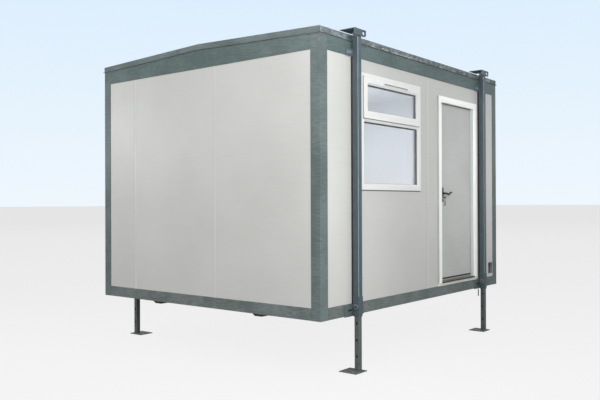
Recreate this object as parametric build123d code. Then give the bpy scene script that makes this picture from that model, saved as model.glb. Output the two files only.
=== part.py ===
from build123d import *
import os

# Portable site cabin on four telescopic legs, in millimetres.
# +X runs along the long side, the front wall with the door and window faces -Y and +Z is up.
# The origin is on the ground under the centre of the cabin.

# ---------------------------------------------------------------- cabin body
LENGTH = 3660              # long side, over the corner trims
WIDTH = 3040               # end wall, over the corner trims
GROUND_CLEARANCE = 508     # ground to the underside of the body
EAVES_HEIGHT = 2552        # underside of the body to the top of the roof edge at the eaves
RIDGE_RISE = 53            # ridge above the eaves
WALL = 50                  # sandwich wall panel
TRIM = 4                   # folded steel trim outside the panels
PANEL_JOINT = 2            # gap between two wall panels
CUT = 1                    # how far a cutting shape runs past what it cuts

# ---------------------------------------------------------------- floor and trims
BOTTOM_TRIM_HEIGHT = 106
CORNER_ON_SIDE = 107       # corner trim's width on the long sides
CORNER_ON_END = 104        # corner trim's width on the end walls
SKID_WIDTH = 90
SKID_HEIGHT = 98
SKID_DROP = 38             # how far the skids hang below the body
SKID_OFFSET = 715          # skid centre from the cabin's centre line
SKID_CHAMFER = 30
SKID_END_GAP = 4           # skid's end to the end wall's trim
FLOOR_PANEL = 50
FLOOR_BOARD = 18

# ---------------------------------------------------------------- roof
FASCIA = 132               # face of the fascia at the eaves, between panels and roof edge
FASCIA_LAP = 98            # how far the panels run up behind the fascia, to the ceiling
CEILING = 50
ROOF_EDGE = 58             # face of the roof edge trim
ROOF_EDGE_LIP = 10         # drip lip along its lower edge
ROOF_EDGE_FLANGE = 70      # flange that lies on the roof sheet
ROOF_SHEET = 6
RAIL_WIDTH = 50

# ---------------------------------------------------------------- wall panels
FIRST_PANEL = 1292         # corner to the first seam of a plain wall
PANEL_MODULE = 1208        # seam to seam
NARROWEST_PANEL = 300

# ---------------------------------------------------------------- window
WINDOW_CENTRE = -648       # along X
WINDOW_WIDTH = 1114
WINDOW_MARGINS = (10, 158) # panel left and right of the window
WINDOW_SILL = 1145         # above the underside of the body
WINDOW_HEIGHT = 1093
WINDOW_FACE = 62           # visible width of the frame
WINDOW_DEPTH = 62
WINDOW_PROUD = 10          # frame's face in front of the wall
GLASS = 24                 # sealed double glazing unit
GLASS_RECESS = 17          # glass behind the face that holds it
TRANSOM_CENTRE = 1815      # above the underside of the body
TRANSOM_FACE = 62
SASH_FACE = 76
SASH_LAP = 32              # sash over the frame around its opening
SASH_DEPTH = 40
SASH_PROUD = 14            # sash face in front of the frame's face
GLASS_EDGE = 8             # glass held in the frame or sash on each side
VENT_WIDTH = 460
VENT_HEIGHT = 18
VENT_DEPTH = 8
VENT_OFFSET = 40           # vent's centre right of the window's

# ---------------------------------------------------------------- door
DOOR_FRAME_LEFT = 292
DOOR_FRAME_WIDTH = 968
DOOR_FRAME_BOTTOM = 140    # above the underside of the body
DOOR_FRAME_TOP = 2195
DOOR_JAMB = 88             # visible width of a jamb
DOOR_HEAD = 66
DOOR_FRAME_PROUD = 14
DOOR_STOP_DEPTH = 46       # frame's face to the back of the stop
DOOR_STOP_LAP = 14         # stop over the leaf's edge
DOOR_STOP_GAP = 5
DOOR_LEAF = 45
DOOR_GAP = 7               # around the leaf
THRESHOLD_HEIGHT = 14
THRESHOLD_PROUD = 20
HINGE_RADIUS = 8
HINGE_PIN_RADIUS = 4
HINGE_PIN_CLEARANCE = 0.3
HINGE_KNUCKLE = 36
HINGE_KNUCKLE_GAP = 1
HINGE_FLAP = 3
HINGE_FLAP_WIDTH = 34
HINGE_HEIGHTS = (350, 1150, 1950)  # above the underside of the body
BACKSET = 96               # spindle from the leaf's edge
SPINDLE_HEIGHT = 1126      # above the underside of the body
SPINDLE_RADIUS = 6
SPINDLE_CLEARANCE = 0.5
BACKPLATE = (40, 8, 162)   # width, thickness, height
BACKPLATE_DROP = 15        # plate centre below the spindle
CYLINDER_RADIUS = 9
CYLINDER_DROP = 48         # key cylinder below the spindle
CYLINDER_PROUD = 5
LEVER_RADIUS = 9
LEVER_LENGTH = 132
LEVER_REACH = 46           # lever's centre line in front of the plate
LEVER_DIP = 10             # drop of the lever's curve
LEVER_BENDS = (46, 99)     # the curve's lowest point and its level one, from the spindle
LEVER_ROSE_RADIUS = 13
LEVER_ROSE = 16
LEVER_GAP = 1              # rose in front of the plate

# ---------------------------------------------------------------- legs
LEG_INSETS = {             # leg's centre from the nearer end of the cabin, along X
    "front_left": 497,
    "front_right": 497,
    "rear_left": 485,
    "rear_right": 485,
}
LEG_GAP = 18               # trims to the back of the outer tube
OUTER_LEG = 60
OUTER_WALL = 4
LEG_CLEARANCE = 0.8        # inner leg in the outer leg, each side
INNER_WALL = 4
INNER_LEG_LENGTH = 1900
COLLAR_WALL = 4.5          # sleeve round the foot of the outer tube
COLLAR_BOTTOM = -10        # relative to the underside of the body
COLLAR_TAPER_TOP = 28      # where the sleeve starts to narrow, and the outer tube ends
COLLAR_TOP = 174
COLLAR_MOUTH_WALL = 2.5    # sleeve's wall at its lower end
PIN_HEIGHT = 82            # relative to the underside of the body
PIN_PITCH = 150
PIN_HOLE_RADIUS = 11
PIN_RADIUS = 10.5
PIN_RECESS = 2             # pin's outer end below the face of its boss
PIN_END_GAP = 1            # pin's end short of the inner leg
BOSS_RADIUS = 24           # round boss on the sleeve that the pin goes through
BOSS = 10
FOOT_PLATE = (178, 190, 8) # X, Y, thickness
FOOT_OFFSET = (-30, 38)    # plate centre from the leg: along X, and towards the cabin
HEAD_RISE = 48             # top of the head above the roof edge
HEAD_WIDTH = 186
HEAD_FACE = 62
HEAD_PLATE = 8
HEAD_DEPTH = 155
EYE_RADIUS = 20
EYE_OFFSET = 54            # eye from the leg's centre
EYE_DROP = 29              # eye below the top of the head
BRACKET = 6
LOW_BRACKET = (310, 108)   # width, height
LOW_BRACKET_DROP = 6       # below the underside of the body
HIGH_BRACKET = (224, 64)
HIGH_BRACKET_LAP = 5       # below the fascia's lower edge

# ---------------------------------------------------------------- power inlet
INLET = (86, 14, 128)      # width, depth, height
INLET_MARGIN = 40          # plate to the corner trim
INLET_BOTTOM = 153         # above the underside of the body

# ---------------------------------------------------------------- derived planes
BASE = GROUND_CLEARANCE
PANEL_TOP = EAVES_HEIGHT - ROOF_EDGE - FASCIA
TRIM_X = LENGTH / 2
TRIM_Y = WIDTH / 2
PANEL_X = TRIM_X - TRIM
PANEL_Y = TRIM_Y - TRIM
ROOM_X = PANEL_X - WALL
ROOM_Y = PANEL_Y - WALL
PANEL_FOOT = BASE + TRIM
PANEL_HEAD = BASE + PANEL_TOP + FASCIA_LAP
FLOOR_BOTTOM = BASE + SKID_HEIGHT - SKID_DROP
FLOOR_TOP = FLOOR_BOTTOM + FLOOR_PANEL + FLOOR_BOARD
EAVES = BASE + EAVES_HEIGHT
RIDGE = EAVES + RIDGE_RISE
SLOPE = RIDGE_RISE / TRIM_Y
COLLAR = OUTER_LEG + 2 * COLLAR_WALL
LEG_BORE = OUTER_LEG - 2 * OUTER_WALL
INNER_LEG = LEG_BORE - 2 * LEG_CLEARANCE
LEG_STANDOFF = LEG_GAP + OUTER_LEG / 2

os.makedirs("parts", exist_ok=True)


def save(name, *solids):
    """Write one node, as one solid or as several that don't touch."""
    shape = solids[0] if len(solids) == 1 else Compound(children=list(solids))
    export_step(shape, f"parts/{name}.step")


def block(x0, x1, y0, y1, z0, z1):
    """Box between two opposite corners."""
    return Pos((x0 + x1) / 2, (y0 + y1) / 2, (z0 + z1) / 2) * Box(x1 - x0, y1 - y0, z1 - z0)


def along_x(outline, x0, x1):
    """Outline of (y, z) points pushed from x0 to x1."""
    face = Plane.YZ.offset(x0) * Polygon(*outline, align=None)
    return extrude(face, x1 - x0, dir=(1, 0, 0))


def along_y(outline, y0, y1):
    """Outline of (x, z) points pushed from y0 to y1."""
    face = Plane.XZ.offset(-y0) * Polygon(*outline, align=None)
    return extrude(face, y1 - y0, dir=(0, 1, 0))


def rod_x(radius, x0, x1, y, z):
    """Round bar along X."""
    return Pos((x0 + x1) / 2, y, z) * Rot(0, 90, 0) * Cylinder(radius, x1 - x0)


def rod_y(radius, x, y0, y1, z):
    """Round bar along Y."""
    return Pos(x, (y0 + y1) / 2, z) * Rot(90, 0, 0) * Cylinder(radius, y1 - y0)


def rod_z(radius, x, y, z0, z1):
    """Round bar along Z."""
    return Pos(x, y, (z0 + z1) / 2) * Cylinder(radius, z1 - z0)


def roof_line(y, drop=0):
    """Height of the roof's top surface at y, less a drop."""
    return RIDGE - SLOPE * abs(y) - drop


# ---------------------------------------------------------------- floor
def make_floor():
    """Two timber skids, the insulated floor panel on them and the floor boards."""
    skid_end = ROOM_X - SKID_END_GAP
    low = BASE - SKID_DROP
    skids = []
    for side in (-1, 1):
        y = side * SKID_OFFSET
        skid = block(-skid_end, skid_end, y - SKID_WIDTH / 2, y + SKID_WIDTH / 2, low, FLOOR_BOTTOM)
        ends = skid.edges().filter_by(Axis.Y).group_by(Axis.Z)[0]
        skids.append(chamfer(ends, SKID_CHAMFER))
    save("skid_runners", *skids)
    boards = FLOOR_BOTTOM + FLOOR_PANEL
    save("floor_panel", block(-ROOM_X, ROOM_X, -ROOM_Y, ROOM_Y, FLOOR_BOTTOM, boards))
    save("floor_boards", block(-ROOM_X, ROOM_X, -ROOM_Y, ROOM_Y, boards, FLOOR_TOP))


# ---------------------------------------------------------------- trims round the walls
def bottom_trim_outline(face, inner):
    """Angle under a wall: an upright face and a flange that carries the panels."""
    top = BASE + BOTTOM_TRIM_HEIGHT
    return [(face, BASE), (inner, BASE), (inner, BASE + TRIM), (face + TRIM, BASE + TRIM),
            (face + TRIM, top), (face, top)]


def make_bottom_trims():
    """Four folded angles between the corner trims."""
    side = TRIM_X - CORNER_ON_SIDE
    front = along_x(bottom_trim_outline(-TRIM_Y, -ROOM_Y), -side, side)
    end = TRIM_Y - CORNER_ON_END
    left = along_y(bottom_trim_outline(-TRIM_X, -ROOM_X), -end, end)
    save("bottom_trims", front, mirror(front, Plane.XZ), left, mirror(left, Plane.YZ))


def make_corner_trims():
    """Angles round the four corners, from the underside to the roof edge."""
    top = EAVES - ROOF_EDGE
    corners = []
    for sx in (-1, 1):
        for sy in (-1, 1):
            outer = [(sx * TRIM_X, sy * TRIM_Y), (sx * (TRIM_X - CORNER_ON_SIDE), sy * TRIM_Y),
                     (sx * (TRIM_X - CORNER_ON_SIDE), sy * PANEL_Y), (sx * PANEL_X, sy * PANEL_Y),
                     (sx * PANEL_X, sy * (TRIM_Y - CORNER_ON_END)),
                     (sx * TRIM_X, sy * (TRIM_Y - CORNER_ON_END))]
            corner = extrude(Polygon(*outer, align=None), top - BASE, dir=(0, 0, 1))
            corners.append(Pos(0, 0, BASE) * corner)
    save("corner_trims", *corners)


def make_fascias():
    """Flat bands over the panels, up behind the roof edge; the end ones rise to the ridge."""
    low = BASE + PANEL_TOP
    side = TRIM_X - CORNER_ON_SIDE
    front = block(-side, side, -TRIM_Y, -PANEL_Y, low, EAVES - ROOF_EDGE)
    end = TRIM_Y - CORNER_ON_END
    outline = [(-end, low), (end, low), (end, roof_line(end, ROOF_EDGE)), (0, RIDGE - ROOF_EDGE),
               (-end, roof_line(end, ROOF_EDGE))]
    left = along_x(outline, -TRIM_X, -PANEL_X)
    save("fascias", front, mirror(front, Plane.XZ), left, mirror(left, Plane.YZ))


# ---------------------------------------------------------------- walls
def panel_run(corner, end):
    """Panels of a plain wall from -end to end, with seams counted from the corner at -corner."""
    start = -end
    seam = -corner + FIRST_PANEL
    while seam < end - NARROWEST_PANEL:
        yield start, seam - PANEL_JOINT / 2
        start = seam + PANEL_JOINT / 2
        seam += PANEL_MODULE
    yield start, end


def make_front_wall():
    """Front panels round the window and the door."""
    window_left = WINDOW_CENTRE - WINDOW_WIDTH / 2
    window_right = WINDOW_CENTRE + WINDOW_WIDTH / 2
    left_seam = window_left - WINDOW_MARGINS[0]
    right_seam = window_right + WINDOW_MARGINS[1]
    half = PANEL_JOINT / 2
    door_right = DOOR_FRAME_LEFT + DOOR_FRAME_WIDTH

    def panel(x0, x1, z0=PANEL_FOOT, z1=PANEL_HEAD):
        return block(x0, x1, -PANEL_Y, -ROOM_Y, z0, z1)

    save("front_wall_left", panel(-PANEL_X, left_seam - half))
    window_hole = panel(window_left, window_right, BASE + WINDOW_SILL,
                        BASE + WINDOW_SILL + WINDOW_HEIGHT)
    save("front_wall_window", panel(left_seam + half, right_seam - half) - window_hole)
    save("front_wall_middle", panel(right_seam + half, DOOR_FRAME_LEFT))
    save("front_wall_over_door", panel(DOOR_FRAME_LEFT, door_right, BASE + DOOR_FRAME_TOP))
    save("front_wall_under_door",
         panel(DOOR_FRAME_LEFT, door_right, PANEL_FOOT, BASE + DOOR_FRAME_BOTTOM))
    save("front_wall_right", panel(door_right, PANEL_X))


def make_plain_walls():
    """Rear wall and the two end walls, each of panels side by side."""
    rear = [block(a, b, ROOM_Y, PANEL_Y, PANEL_FOOT, PANEL_HEAD)
            for a, b in panel_run(TRIM_X, PANEL_X)]
    save("rear_wall", *rear)
    left = [block(-PANEL_X, -ROOM_X, a, b, PANEL_FOOT, PANEL_HEAD)
            for a, b in panel_run(TRIM_Y, ROOM_Y)]
    save("left_end_wall", *left)
    save("right_end_wall", *[mirror(panel, Plane.YZ) for panel in left])


# ---------------------------------------------------------------- roof
def make_roof():
    """Ceiling on the walls, rails that carry the two roof sheets, and the roof edge trims."""
    ceiling_top = PANEL_HEAD + CEILING
    save("ceiling_panel", block(-PANEL_X, PANEL_X, -PANEL_Y, PANEL_Y, PANEL_HEAD, ceiling_top))

    def sheet_under(y):
        return roof_line(y, TRIM + ROOF_SHEET)

    ridge = along_x([(-RAIL_WIDTH / 2, ceiling_top), (RAIL_WIDTH / 2, ceiling_top),
                     (RAIL_WIDTH / 2, sheet_under(RAIL_WIDTH / 2)), (0, sheet_under(0)),
                     (-RAIL_WIDTH / 2, sheet_under(RAIL_WIDTH / 2))], -PANEL_X, PANEL_X)
    inner = PANEL_Y - RAIL_WIDTH
    front_rail = along_x([(-PANEL_Y, ceiling_top), (-inner, ceiling_top), (-inner, sheet_under(inner)),
                          (-PANEL_Y, sheet_under(PANEL_Y))], -PANEL_X, PANEL_X)
    save("roof_rails", ridge, front_rail, mirror(front_rail, Plane.XZ))

    front_sheet = along_x([(-PANEL_Y, sheet_under(PANEL_Y)), (0, sheet_under(0)), (0, roof_line(0, TRIM)),
                           (-PANEL_Y, roof_line(PANEL_Y, TRIM))], -PANEL_X, PANEL_X)
    save("roof_sheet_front", front_sheet)
    save("roof_sheet_rear", mirror(front_sheet, Plane.XZ))

    # Along the eaves: face, drip lip and a flange on the sheet.
    flange_y = TRIM_Y - ROOF_EDGE_FLANGE
    low = EAVES - ROOF_EDGE
    outline = [(-TRIM_Y - ROOF_EDGE_LIP, low), (-PANEL_Y, low), (-PANEL_Y, roof_line(PANEL_Y, TRIM)),
               (-flange_y, roof_line(flange_y, TRIM)), (-flange_y, roof_line(flange_y)),
               (-TRIM_Y, EAVES), (-TRIM_Y, low + TRIM), (-TRIM_Y - ROOF_EDGE_LIP, low + TRIM)]
    end_x = TRIM_X + ROOF_EDGE_LIP
    eaves = along_x(outline, -PANEL_X, PANEL_X)
    save("roof_edge_front", eaves)
    save("roof_edge_rear", mirror(eaves, Plane.XZ))

    # Over the end walls: the same section, following the two slopes.
    def band(y, top, bottom):
        return [(-y, roof_line(y, bottom)), (0, roof_line(0, bottom)), (y, roof_line(y, bottom)),
                (y, roof_line(y, top)), (0, roof_line(0, top)), (-y, roof_line(y, top))]

    face = along_x(band(TRIM_Y, 0, ROOF_EDGE), -TRIM_X, -PANEL_X)
    lip = along_x(band(TRIM_Y + ROOF_EDGE_LIP, ROOF_EDGE - TRIM, ROOF_EDGE), -end_x, -TRIM_X)
    flange = along_x(band(flange_y, 0, TRIM), -PANEL_X, -PANEL_X + ROOF_EDGE_FLANGE)
    verge = face + lip + flange
    save("roof_edge_left", verge)
    save("roof_edge_right", mirror(verge, Plane.YZ))


# ---------------------------------------------------------------- window
def ring(x0, x1, z0, z1, face, y0, y1):
    """Rectangular frame with the same face width all round."""
    return (block(x0, x1, y0, y1, z0, z1)
            - block(x0 + face, x1 - face, y0 - CUT, y1 + CUT, z0 + face, z1 - face))


def make_window():
    """Fixed pane below, top-hung fanlight above, in one white frame."""
    x0 = WINDOW_CENTRE - WINDOW_WIDTH / 2
    x1 = x0 + WINDOW_WIDTH
    z0 = BASE + WINDOW_SILL
    z1 = z0 + WINDOW_HEIGHT
    face_y = -PANEL_Y - WINDOW_PROUD
    back_y = face_y + WINDOW_DEPTH
    transom_low = BASE + TRANSOM_CENTRE - TRANSOM_FACE / 2
    transom_high = transom_low + TRANSOM_FACE
    glass_front = face_y + GLASS_RECESS

    frame = ring(x0, x1, z0, z1, WINDOW_FACE, face_y, back_y)
    frame += block(x0 + WINDOW_FACE, x1 - WINDOW_FACE, face_y, back_y, transom_low, transom_high)
    lower = block(x0 + WINDOW_FACE - GLASS_EDGE, x1 - WINDOW_FACE + GLASS_EDGE, glass_front,
                  glass_front + GLASS, z0 + WINDOW_FACE - GLASS_EDGE, transom_low + GLASS_EDGE)
    frame -= lower

    # The sash stands in front of the frame and carries its own pane.
    sash_x0 = x0 + WINDOW_FACE - SASH_LAP
    sash_x1 = x1 - WINDOW_FACE + SASH_LAP
    sash_z0 = transom_high - SASH_LAP
    sash_z1 = z1 - WINDOW_FACE + SASH_LAP
    sash_y = face_y - SASH_PROUD
    pane_y = sash_y + GLASS_RECESS
    sash = ring(sash_x0, sash_x1, sash_z0, sash_z1, SASH_FACE, sash_y, face_y)
    tongue = ring(x0 + WINDOW_FACE, x1 - WINDOW_FACE, transom_high, z1 - WINDOW_FACE,
                  SASH_FACE - SASH_LAP, face_y, sash_y + SASH_DEPTH)
    upper = block(sash_x0 + SASH_FACE - GLASS_EDGE, sash_x1 - SASH_FACE + GLASS_EDGE, pane_y,
                  pane_y + GLASS, sash_z0 + SASH_FACE - GLASS_EDGE, sash_z1 - SASH_FACE + GLASS_EDGE)
    save("window_frame", frame)
    save("window_sash", sash + tongue - upper)
    save("window_glass", lower, upper)

    vent_x = WINDOW_CENTRE + VENT_OFFSET
    vent_z = sash_z1 - SASH_FACE / 2
    save("trickle_vent", block(vent_x - VENT_WIDTH / 2, vent_x + VENT_WIDTH / 2, sash_y - VENT_DEPTH,
                               sash_y, vent_z - VENT_HEIGHT / 2, vent_z + VENT_HEIGHT / 2))


# ---------------------------------------------------------------- door
def make_door():
    """Frame with its stop, threshold, inward-opening leaf, hinges, lock plates and levers."""
    x0 = DOOR_FRAME_LEFT
    x1 = x0 + DOOR_FRAME_WIDTH
    z0 = BASE + DOOR_FRAME_BOTTOM
    z1 = BASE + DOOR_FRAME_TOP
    face_y = -PANEL_Y - DOOR_FRAME_PROUD
    stop_y = face_y + DOOR_STOP_DEPTH
    leaf_y0 = stop_y + DOOR_STOP_GAP
    leaf_y1 = leaf_y0 + DOOR_LEAF
    open_x0 = x0 + DOOR_JAMB
    open_x1 = x1 - DOOR_JAMB
    open_z1 = z1 - DOOR_HEAD
    lap = DOOR_STOP_LAP

    frame = block(x0, x1, face_y, leaf_y1, z0, z1)
    frame -= block(open_x0, open_x1, face_y - CUT, leaf_y1 + CUT, z0 - CUT, open_z1)
    frame -= block(open_x0 - lap, open_x1 + lap, stop_y, leaf_y1 + CUT, z0 - CUT, open_z1 + lap)
    save("door_frame", frame)
    sill_top = z0 + THRESHOLD_HEIGHT
    save("door_threshold", block(open_x0, open_x1, face_y - THRESHOLD_PROUD, leaf_y1, z0, sill_top))

    leaf_x0 = open_x0 - lap + DOOR_GAP
    leaf_x1 = open_x1 + lap - DOOR_GAP
    leaf_z0 = sill_top + DOOR_GAP
    leaf_z1 = open_z1 + lap - DOOR_GAP
    spindle_x = leaf_x0 + BACKSET
    spindle_z = BASE + SPINDLE_HEIGHT
    lock_z = spindle_z - CYLINDER_DROP
    spindle_hole = rod_y(SPINDLE_RADIUS + SPINDLE_CLEARANCE, spindle_x, leaf_y0 - BACKPLATE[1],
                         leaf_y1 + BACKPLATE[1], spindle_z)
    cylinder = rod_y(CYLINDER_RADIUS, spindle_x, leaf_y0 - BACKPLATE[1] - CYLINDER_PROUD,
                     leaf_y1 + BACKPLATE[1] + CYLINDER_PROUD, lock_z)
    leaf = block(leaf_x0, leaf_x1, leaf_y0, leaf_y1, leaf_z0, leaf_z1) - spindle_hole - cylinder
    save("door_leaf", leaf)

    width, thick, height = BACKPLATE
    plate_z = spindle_z - BACKPLATE_DROP
    outer = block(spindle_x - width / 2, spindle_x + width / 2, leaf_y0 - thick, leaf_y0,
                  plate_z - height / 2, plate_z + height / 2)
    inner = block(spindle_x - width / 2, spindle_x + width / 2, leaf_y1, leaf_y1 + thick,
                  plate_z - height / 2, plate_z + height / 2)
    save("door_lock", outer + inner - spindle_hole + cylinder)

    # Levers on both faces of the leaf, joined by the spindle.
    def lever(plate_y, out):
        rose_y = plate_y + out * LEVER_GAP
        reach_y = plate_y + out * LEVER_REACH
        path = Polyline((spindle_x, reach_y, spindle_z),
                        (spindle_x + LEVER_BENDS[0], reach_y, spindle_z - LEVER_DIP),
                        (spindle_x + LEVER_BENDS[1], reach_y, spindle_z + LEVER_DIP / 2),
                        (spindle_x + LEVER_LENGTH, reach_y, spindle_z + LEVER_DIP))
        section = Plane(path @ 0, z_dir=path % 0) * Circle(LEVER_RADIUS)
        bar = sweep(section, path=path, transition=Transition.ROUND)
        bar += Pos(path @ 1) * Sphere(LEVER_RADIUS)
        neck = rod_y(LEVER_RADIUS, spindle_x, *sorted((rose_y, reach_y)), spindle_z)
        knob = Pos(spindle_x, reach_y, spindle_z) * Sphere(LEVER_RADIUS)
        rose_end = rose_y + out * LEVER_ROSE
        rose = rod_y(LEVER_ROSE_RADIUS, spindle_x, *sorted((rose_y, rose_end)), spindle_z)
        return bar + neck + knob + rose

    outer_face = leaf_y0 - thick
    inner_face = leaf_y1 + thick
    spindle = rod_y(SPINDLE_RADIUS, spindle_x, outer_face - LEVER_GAP, inner_face + LEVER_GAP, spindle_z)
    save("door_levers", lever(outer_face, -1) + spindle + lever(inner_face, 1))

    # Butt hinges on the room side, their pins level with the gap at the leaf's edge.
    pin_x = leaf_x1 + DOOR_GAP / 2
    pin_y = leaf_y1 + HINGE_RADIUS
    fixed = []
    moving = []
    for height in HINGE_HEIGHTS:
        z = BASE + height
        top = z + HINGE_KNUCKLE_GAP / 2
        bottom = z - HINGE_KNUCKLE_GAP / 2
        lower = rod_z(HINGE_RADIUS, pin_x, pin_y, bottom - HINGE_KNUCKLE, bottom)
        pin = rod_z(HINGE_PIN_RADIUS, pin_x, pin_y, bottom - HINGE_KNUCKLE, top + HINGE_KNUCKLE)
        flap = block(pin_x, pin_x + HINGE_RADIUS + HINGE_FLAP_WIDTH, leaf_y1, leaf_y1 + HINGE_FLAP,
                     bottom - HINGE_KNUCKLE, bottom)
        fixed.append(lower + pin + flap)
        upper = rod_z(HINGE_RADIUS, pin_x, pin_y, top, top + HINGE_KNUCKLE)
        leaf_flap = block(pin_x - HINGE_RADIUS - HINGE_FLAP_WIDTH, pin_x, leaf_y1,
                          leaf_y1 + HINGE_FLAP, top, top + HINGE_KNUCKLE)
        bore = rod_z(HINGE_PIN_RADIUS + HINGE_PIN_CLEARANCE, pin_x, pin_y, top, top + HINGE_KNUCKLE)
        moving.append(upper + leaf_flap - bore)
    save("door_hinges_fixed", *fixed)
    save("door_hinges_moving", *moving)


# ---------------------------------------------------------------- legs
def tube(size, wall, z0, z1):
    """Square tube standing on the leg's centre line."""
    half = size / 2
    bore = half - wall
    return (block(-half, half, -half, half, z0, z1)
            - block(-bore, bore, -bore, bore, z0 - CUT, z1 + CUT))


def mouth(bottom, top):
    """Lower end of the sleeve, narrowing downwards round the inner leg."""
    size = LEG_BORE + 2 * COLLAR_MOUTH_WALL
    cone = loft(Sketch() + [Pos(0, 0, bottom) * Rectangle(size, size),
                            Pos(0, 0, top) * Rectangle(COLLAR, COLLAR)])
    half = LEG_BORE / 2
    return cone - block(-half, half, -half, half, bottom - CUT, top + CUT)


def outer_leg():
    """Outer tube with its sleeve, pin boss and lifting head; -Y is away from the cabin."""
    top = EAVES + HEAD_RISE
    bottom = BASE + COLLAR_TAPER_TOP
    leg = tube(OUTER_LEG, OUTER_WALL, bottom, top - HEAD_PLATE)
    leg += tube(COLLAR, COLLAR_WALL, bottom, BASE + COLLAR_TOP)
    leg += mouth(BASE + COLLAR_BOTTOM, bottom)
    leg += rod_x(BOSS_RADIUS, -COLLAR / 2 - BOSS, -COLLAR / 2, 0, BASE + PIN_HEIGHT)
    front = -OUTER_LEG / 2
    leg += block(-HEAD_WIDTH / 2, HEAD_WIDTH / 2, front, front + HEAD_DEPTH, top - HEAD_PLATE, top)
    face = block(-HEAD_WIDTH / 2, HEAD_WIDTH / 2, front - HEAD_PLATE, front, top - HEAD_FACE, top)
    leg += face - rod_y(EYE_RADIUS, EYE_OFFSET, front - HEAD_PLATE - CUT, front, top - EYE_DROP)
    return leg - rod_x(PIN_HOLE_RADIUS, -COLLAR, COLLAR, 0, BASE + PIN_HEIGHT)


def inner_leg():
    """Sliding tube with a row of pin holes, welded to its foot plate."""
    width, depth, thick = FOOT_PLATE
    leg = tube(INNER_LEG, INNER_WALL, thick, INNER_LEG_LENGTH)
    holes = []
    z = BASE + PIN_HEIGHT
    while z - PIN_PITCH > thick + PIN_HOLE_RADIUS:
        z -= PIN_PITCH
    while z < INNER_LEG_LENGTH - 2 * PIN_HOLE_RADIUS:
        holes.append(rod_x(PIN_HOLE_RADIUS, -INNER_LEG, INNER_LEG, 0, z))
        z += PIN_PITCH
    dx, dy = FOOT_OFFSET
    foot = block(dx - width / 2, dx + width / 2, dy - depth / 2, dy + depth / 2, 0, thick)
    return leg - holes + foot


def leg_pin():
    """Locking pin in its boss; its end stops short of the inner leg."""
    face = -COLLAR / 2 - BOSS
    end = -INNER_LEG / 2 - PIN_END_GAP
    return rod_x(PIN_RADIUS, face + PIN_RECESS, end, 0, BASE + PIN_HEIGHT)


def leg_brackets():
    """Two brackets that hold the outer tube off the body: a wall plate and a spacer each."""
    brackets = []
    low = BASE - LOW_BRACKET_DROP
    high = BASE + PANEL_TOP - HIGH_BRACKET_LAP
    for (width, height), z, leg_size in ((LOW_BRACKET, low, COLLAR), (HIGH_BRACKET, high, OUTER_LEG)):
        face = LEG_STANDOFF - BRACKET
        plate = block(-width / 2, width / 2, face, LEG_STANDOFF, z, z + height)
        spacer = block(-leg_size / 2, leg_size / 2, leg_size / 2, face, z, z + height)
        brackets.append(plate + spacer)
    return brackets


def make_legs():
    """Four like legs, the rear ones turned half round."""
    pins = []
    brackets = []
    for name, inset in LEG_INSETS.items():
        x = TRIM_X - inset if name.endswith("right") else inset - TRIM_X
        if name.startswith("front"):
            spot = Pos(x, -TRIM_Y - LEG_STANDOFF, 0)
        else:
            spot = Pos(x, TRIM_Y + LEG_STANDOFF, 0) * Rot(0, 0, 180)
        save(f"outer_leg_{name}", spot * outer_leg())
        save(f"inner_leg_{name}", spot * inner_leg())
        pins.append(spot * leg_pin())
        brackets.extend(spot * bracket for bracket in leg_brackets())
    save("leg_pins", *pins)
    save("leg_brackets", *brackets)


def make_power_inlet():
    """Flush inlet plate on the front wall, beside the right corner trim."""
    width, depth, height = INLET
    right = TRIM_X - CORNER_ON_SIDE - INLET_MARGIN
    bottom = BASE + INLET_BOTTOM
    save("power_inlet", block(right - width, right, -PANEL_Y - depth, -PANEL_Y, bottom, bottom + height))


make_floor()
make_bottom_trims()
make_corner_trims()
make_fascias()
make_front_wall()
make_plain_walls()
make_roof()
make_window()
make_door()
make_legs()
make_power_inlet()
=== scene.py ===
import random
from math import cos, pi, radians, sin, tan

import bmesh
import bpy
from mathutils import Matrix, Vector


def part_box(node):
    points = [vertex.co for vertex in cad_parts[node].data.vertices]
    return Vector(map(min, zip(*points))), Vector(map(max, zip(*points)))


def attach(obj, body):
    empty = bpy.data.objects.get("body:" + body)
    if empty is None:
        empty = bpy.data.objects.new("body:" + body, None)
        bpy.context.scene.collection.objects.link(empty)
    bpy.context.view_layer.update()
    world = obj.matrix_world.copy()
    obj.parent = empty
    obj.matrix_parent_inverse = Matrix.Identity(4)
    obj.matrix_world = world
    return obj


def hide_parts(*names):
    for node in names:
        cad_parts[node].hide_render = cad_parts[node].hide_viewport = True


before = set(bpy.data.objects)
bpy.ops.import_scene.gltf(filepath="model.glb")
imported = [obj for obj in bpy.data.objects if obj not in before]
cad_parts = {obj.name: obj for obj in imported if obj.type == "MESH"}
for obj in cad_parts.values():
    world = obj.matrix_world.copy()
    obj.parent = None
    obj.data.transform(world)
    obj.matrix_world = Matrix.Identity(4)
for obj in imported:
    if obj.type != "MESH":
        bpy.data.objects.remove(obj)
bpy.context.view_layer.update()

# ---------------- skids
# Two lengths of sawn softwood under the floor, their ends cut back at an angle so that the
# cabin can be dragged. They are brushed with a red oxide stain that has soaked in unevenly.


def linear(code):
    """Linear colour of an sRGB hex code."""
    parts = [int(code[i:i + 2], 16) / 255 for i in (0, 2, 4)]
    return [p / 12.92 if p <= 0.04045 else ((p + 0.055) / 1.055) ** 2.4 for p in parts] + [1.0]


def add(tree, kind, sockets=None, **settings):
    """One shader node with its settings; each socket takes a value or a link."""
    made = tree.nodes.new("ShaderNode" + kind)
    for name, value in settings.items():
        setattr(made, name, value)
    for key, value in (sockets or {}).items():
        if isinstance(value, bpy.types.NodeSocket):
            tree.links.new(value, made.inputs[key])
        else:
            made.inputs[key].default_value = value
    return made


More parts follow.
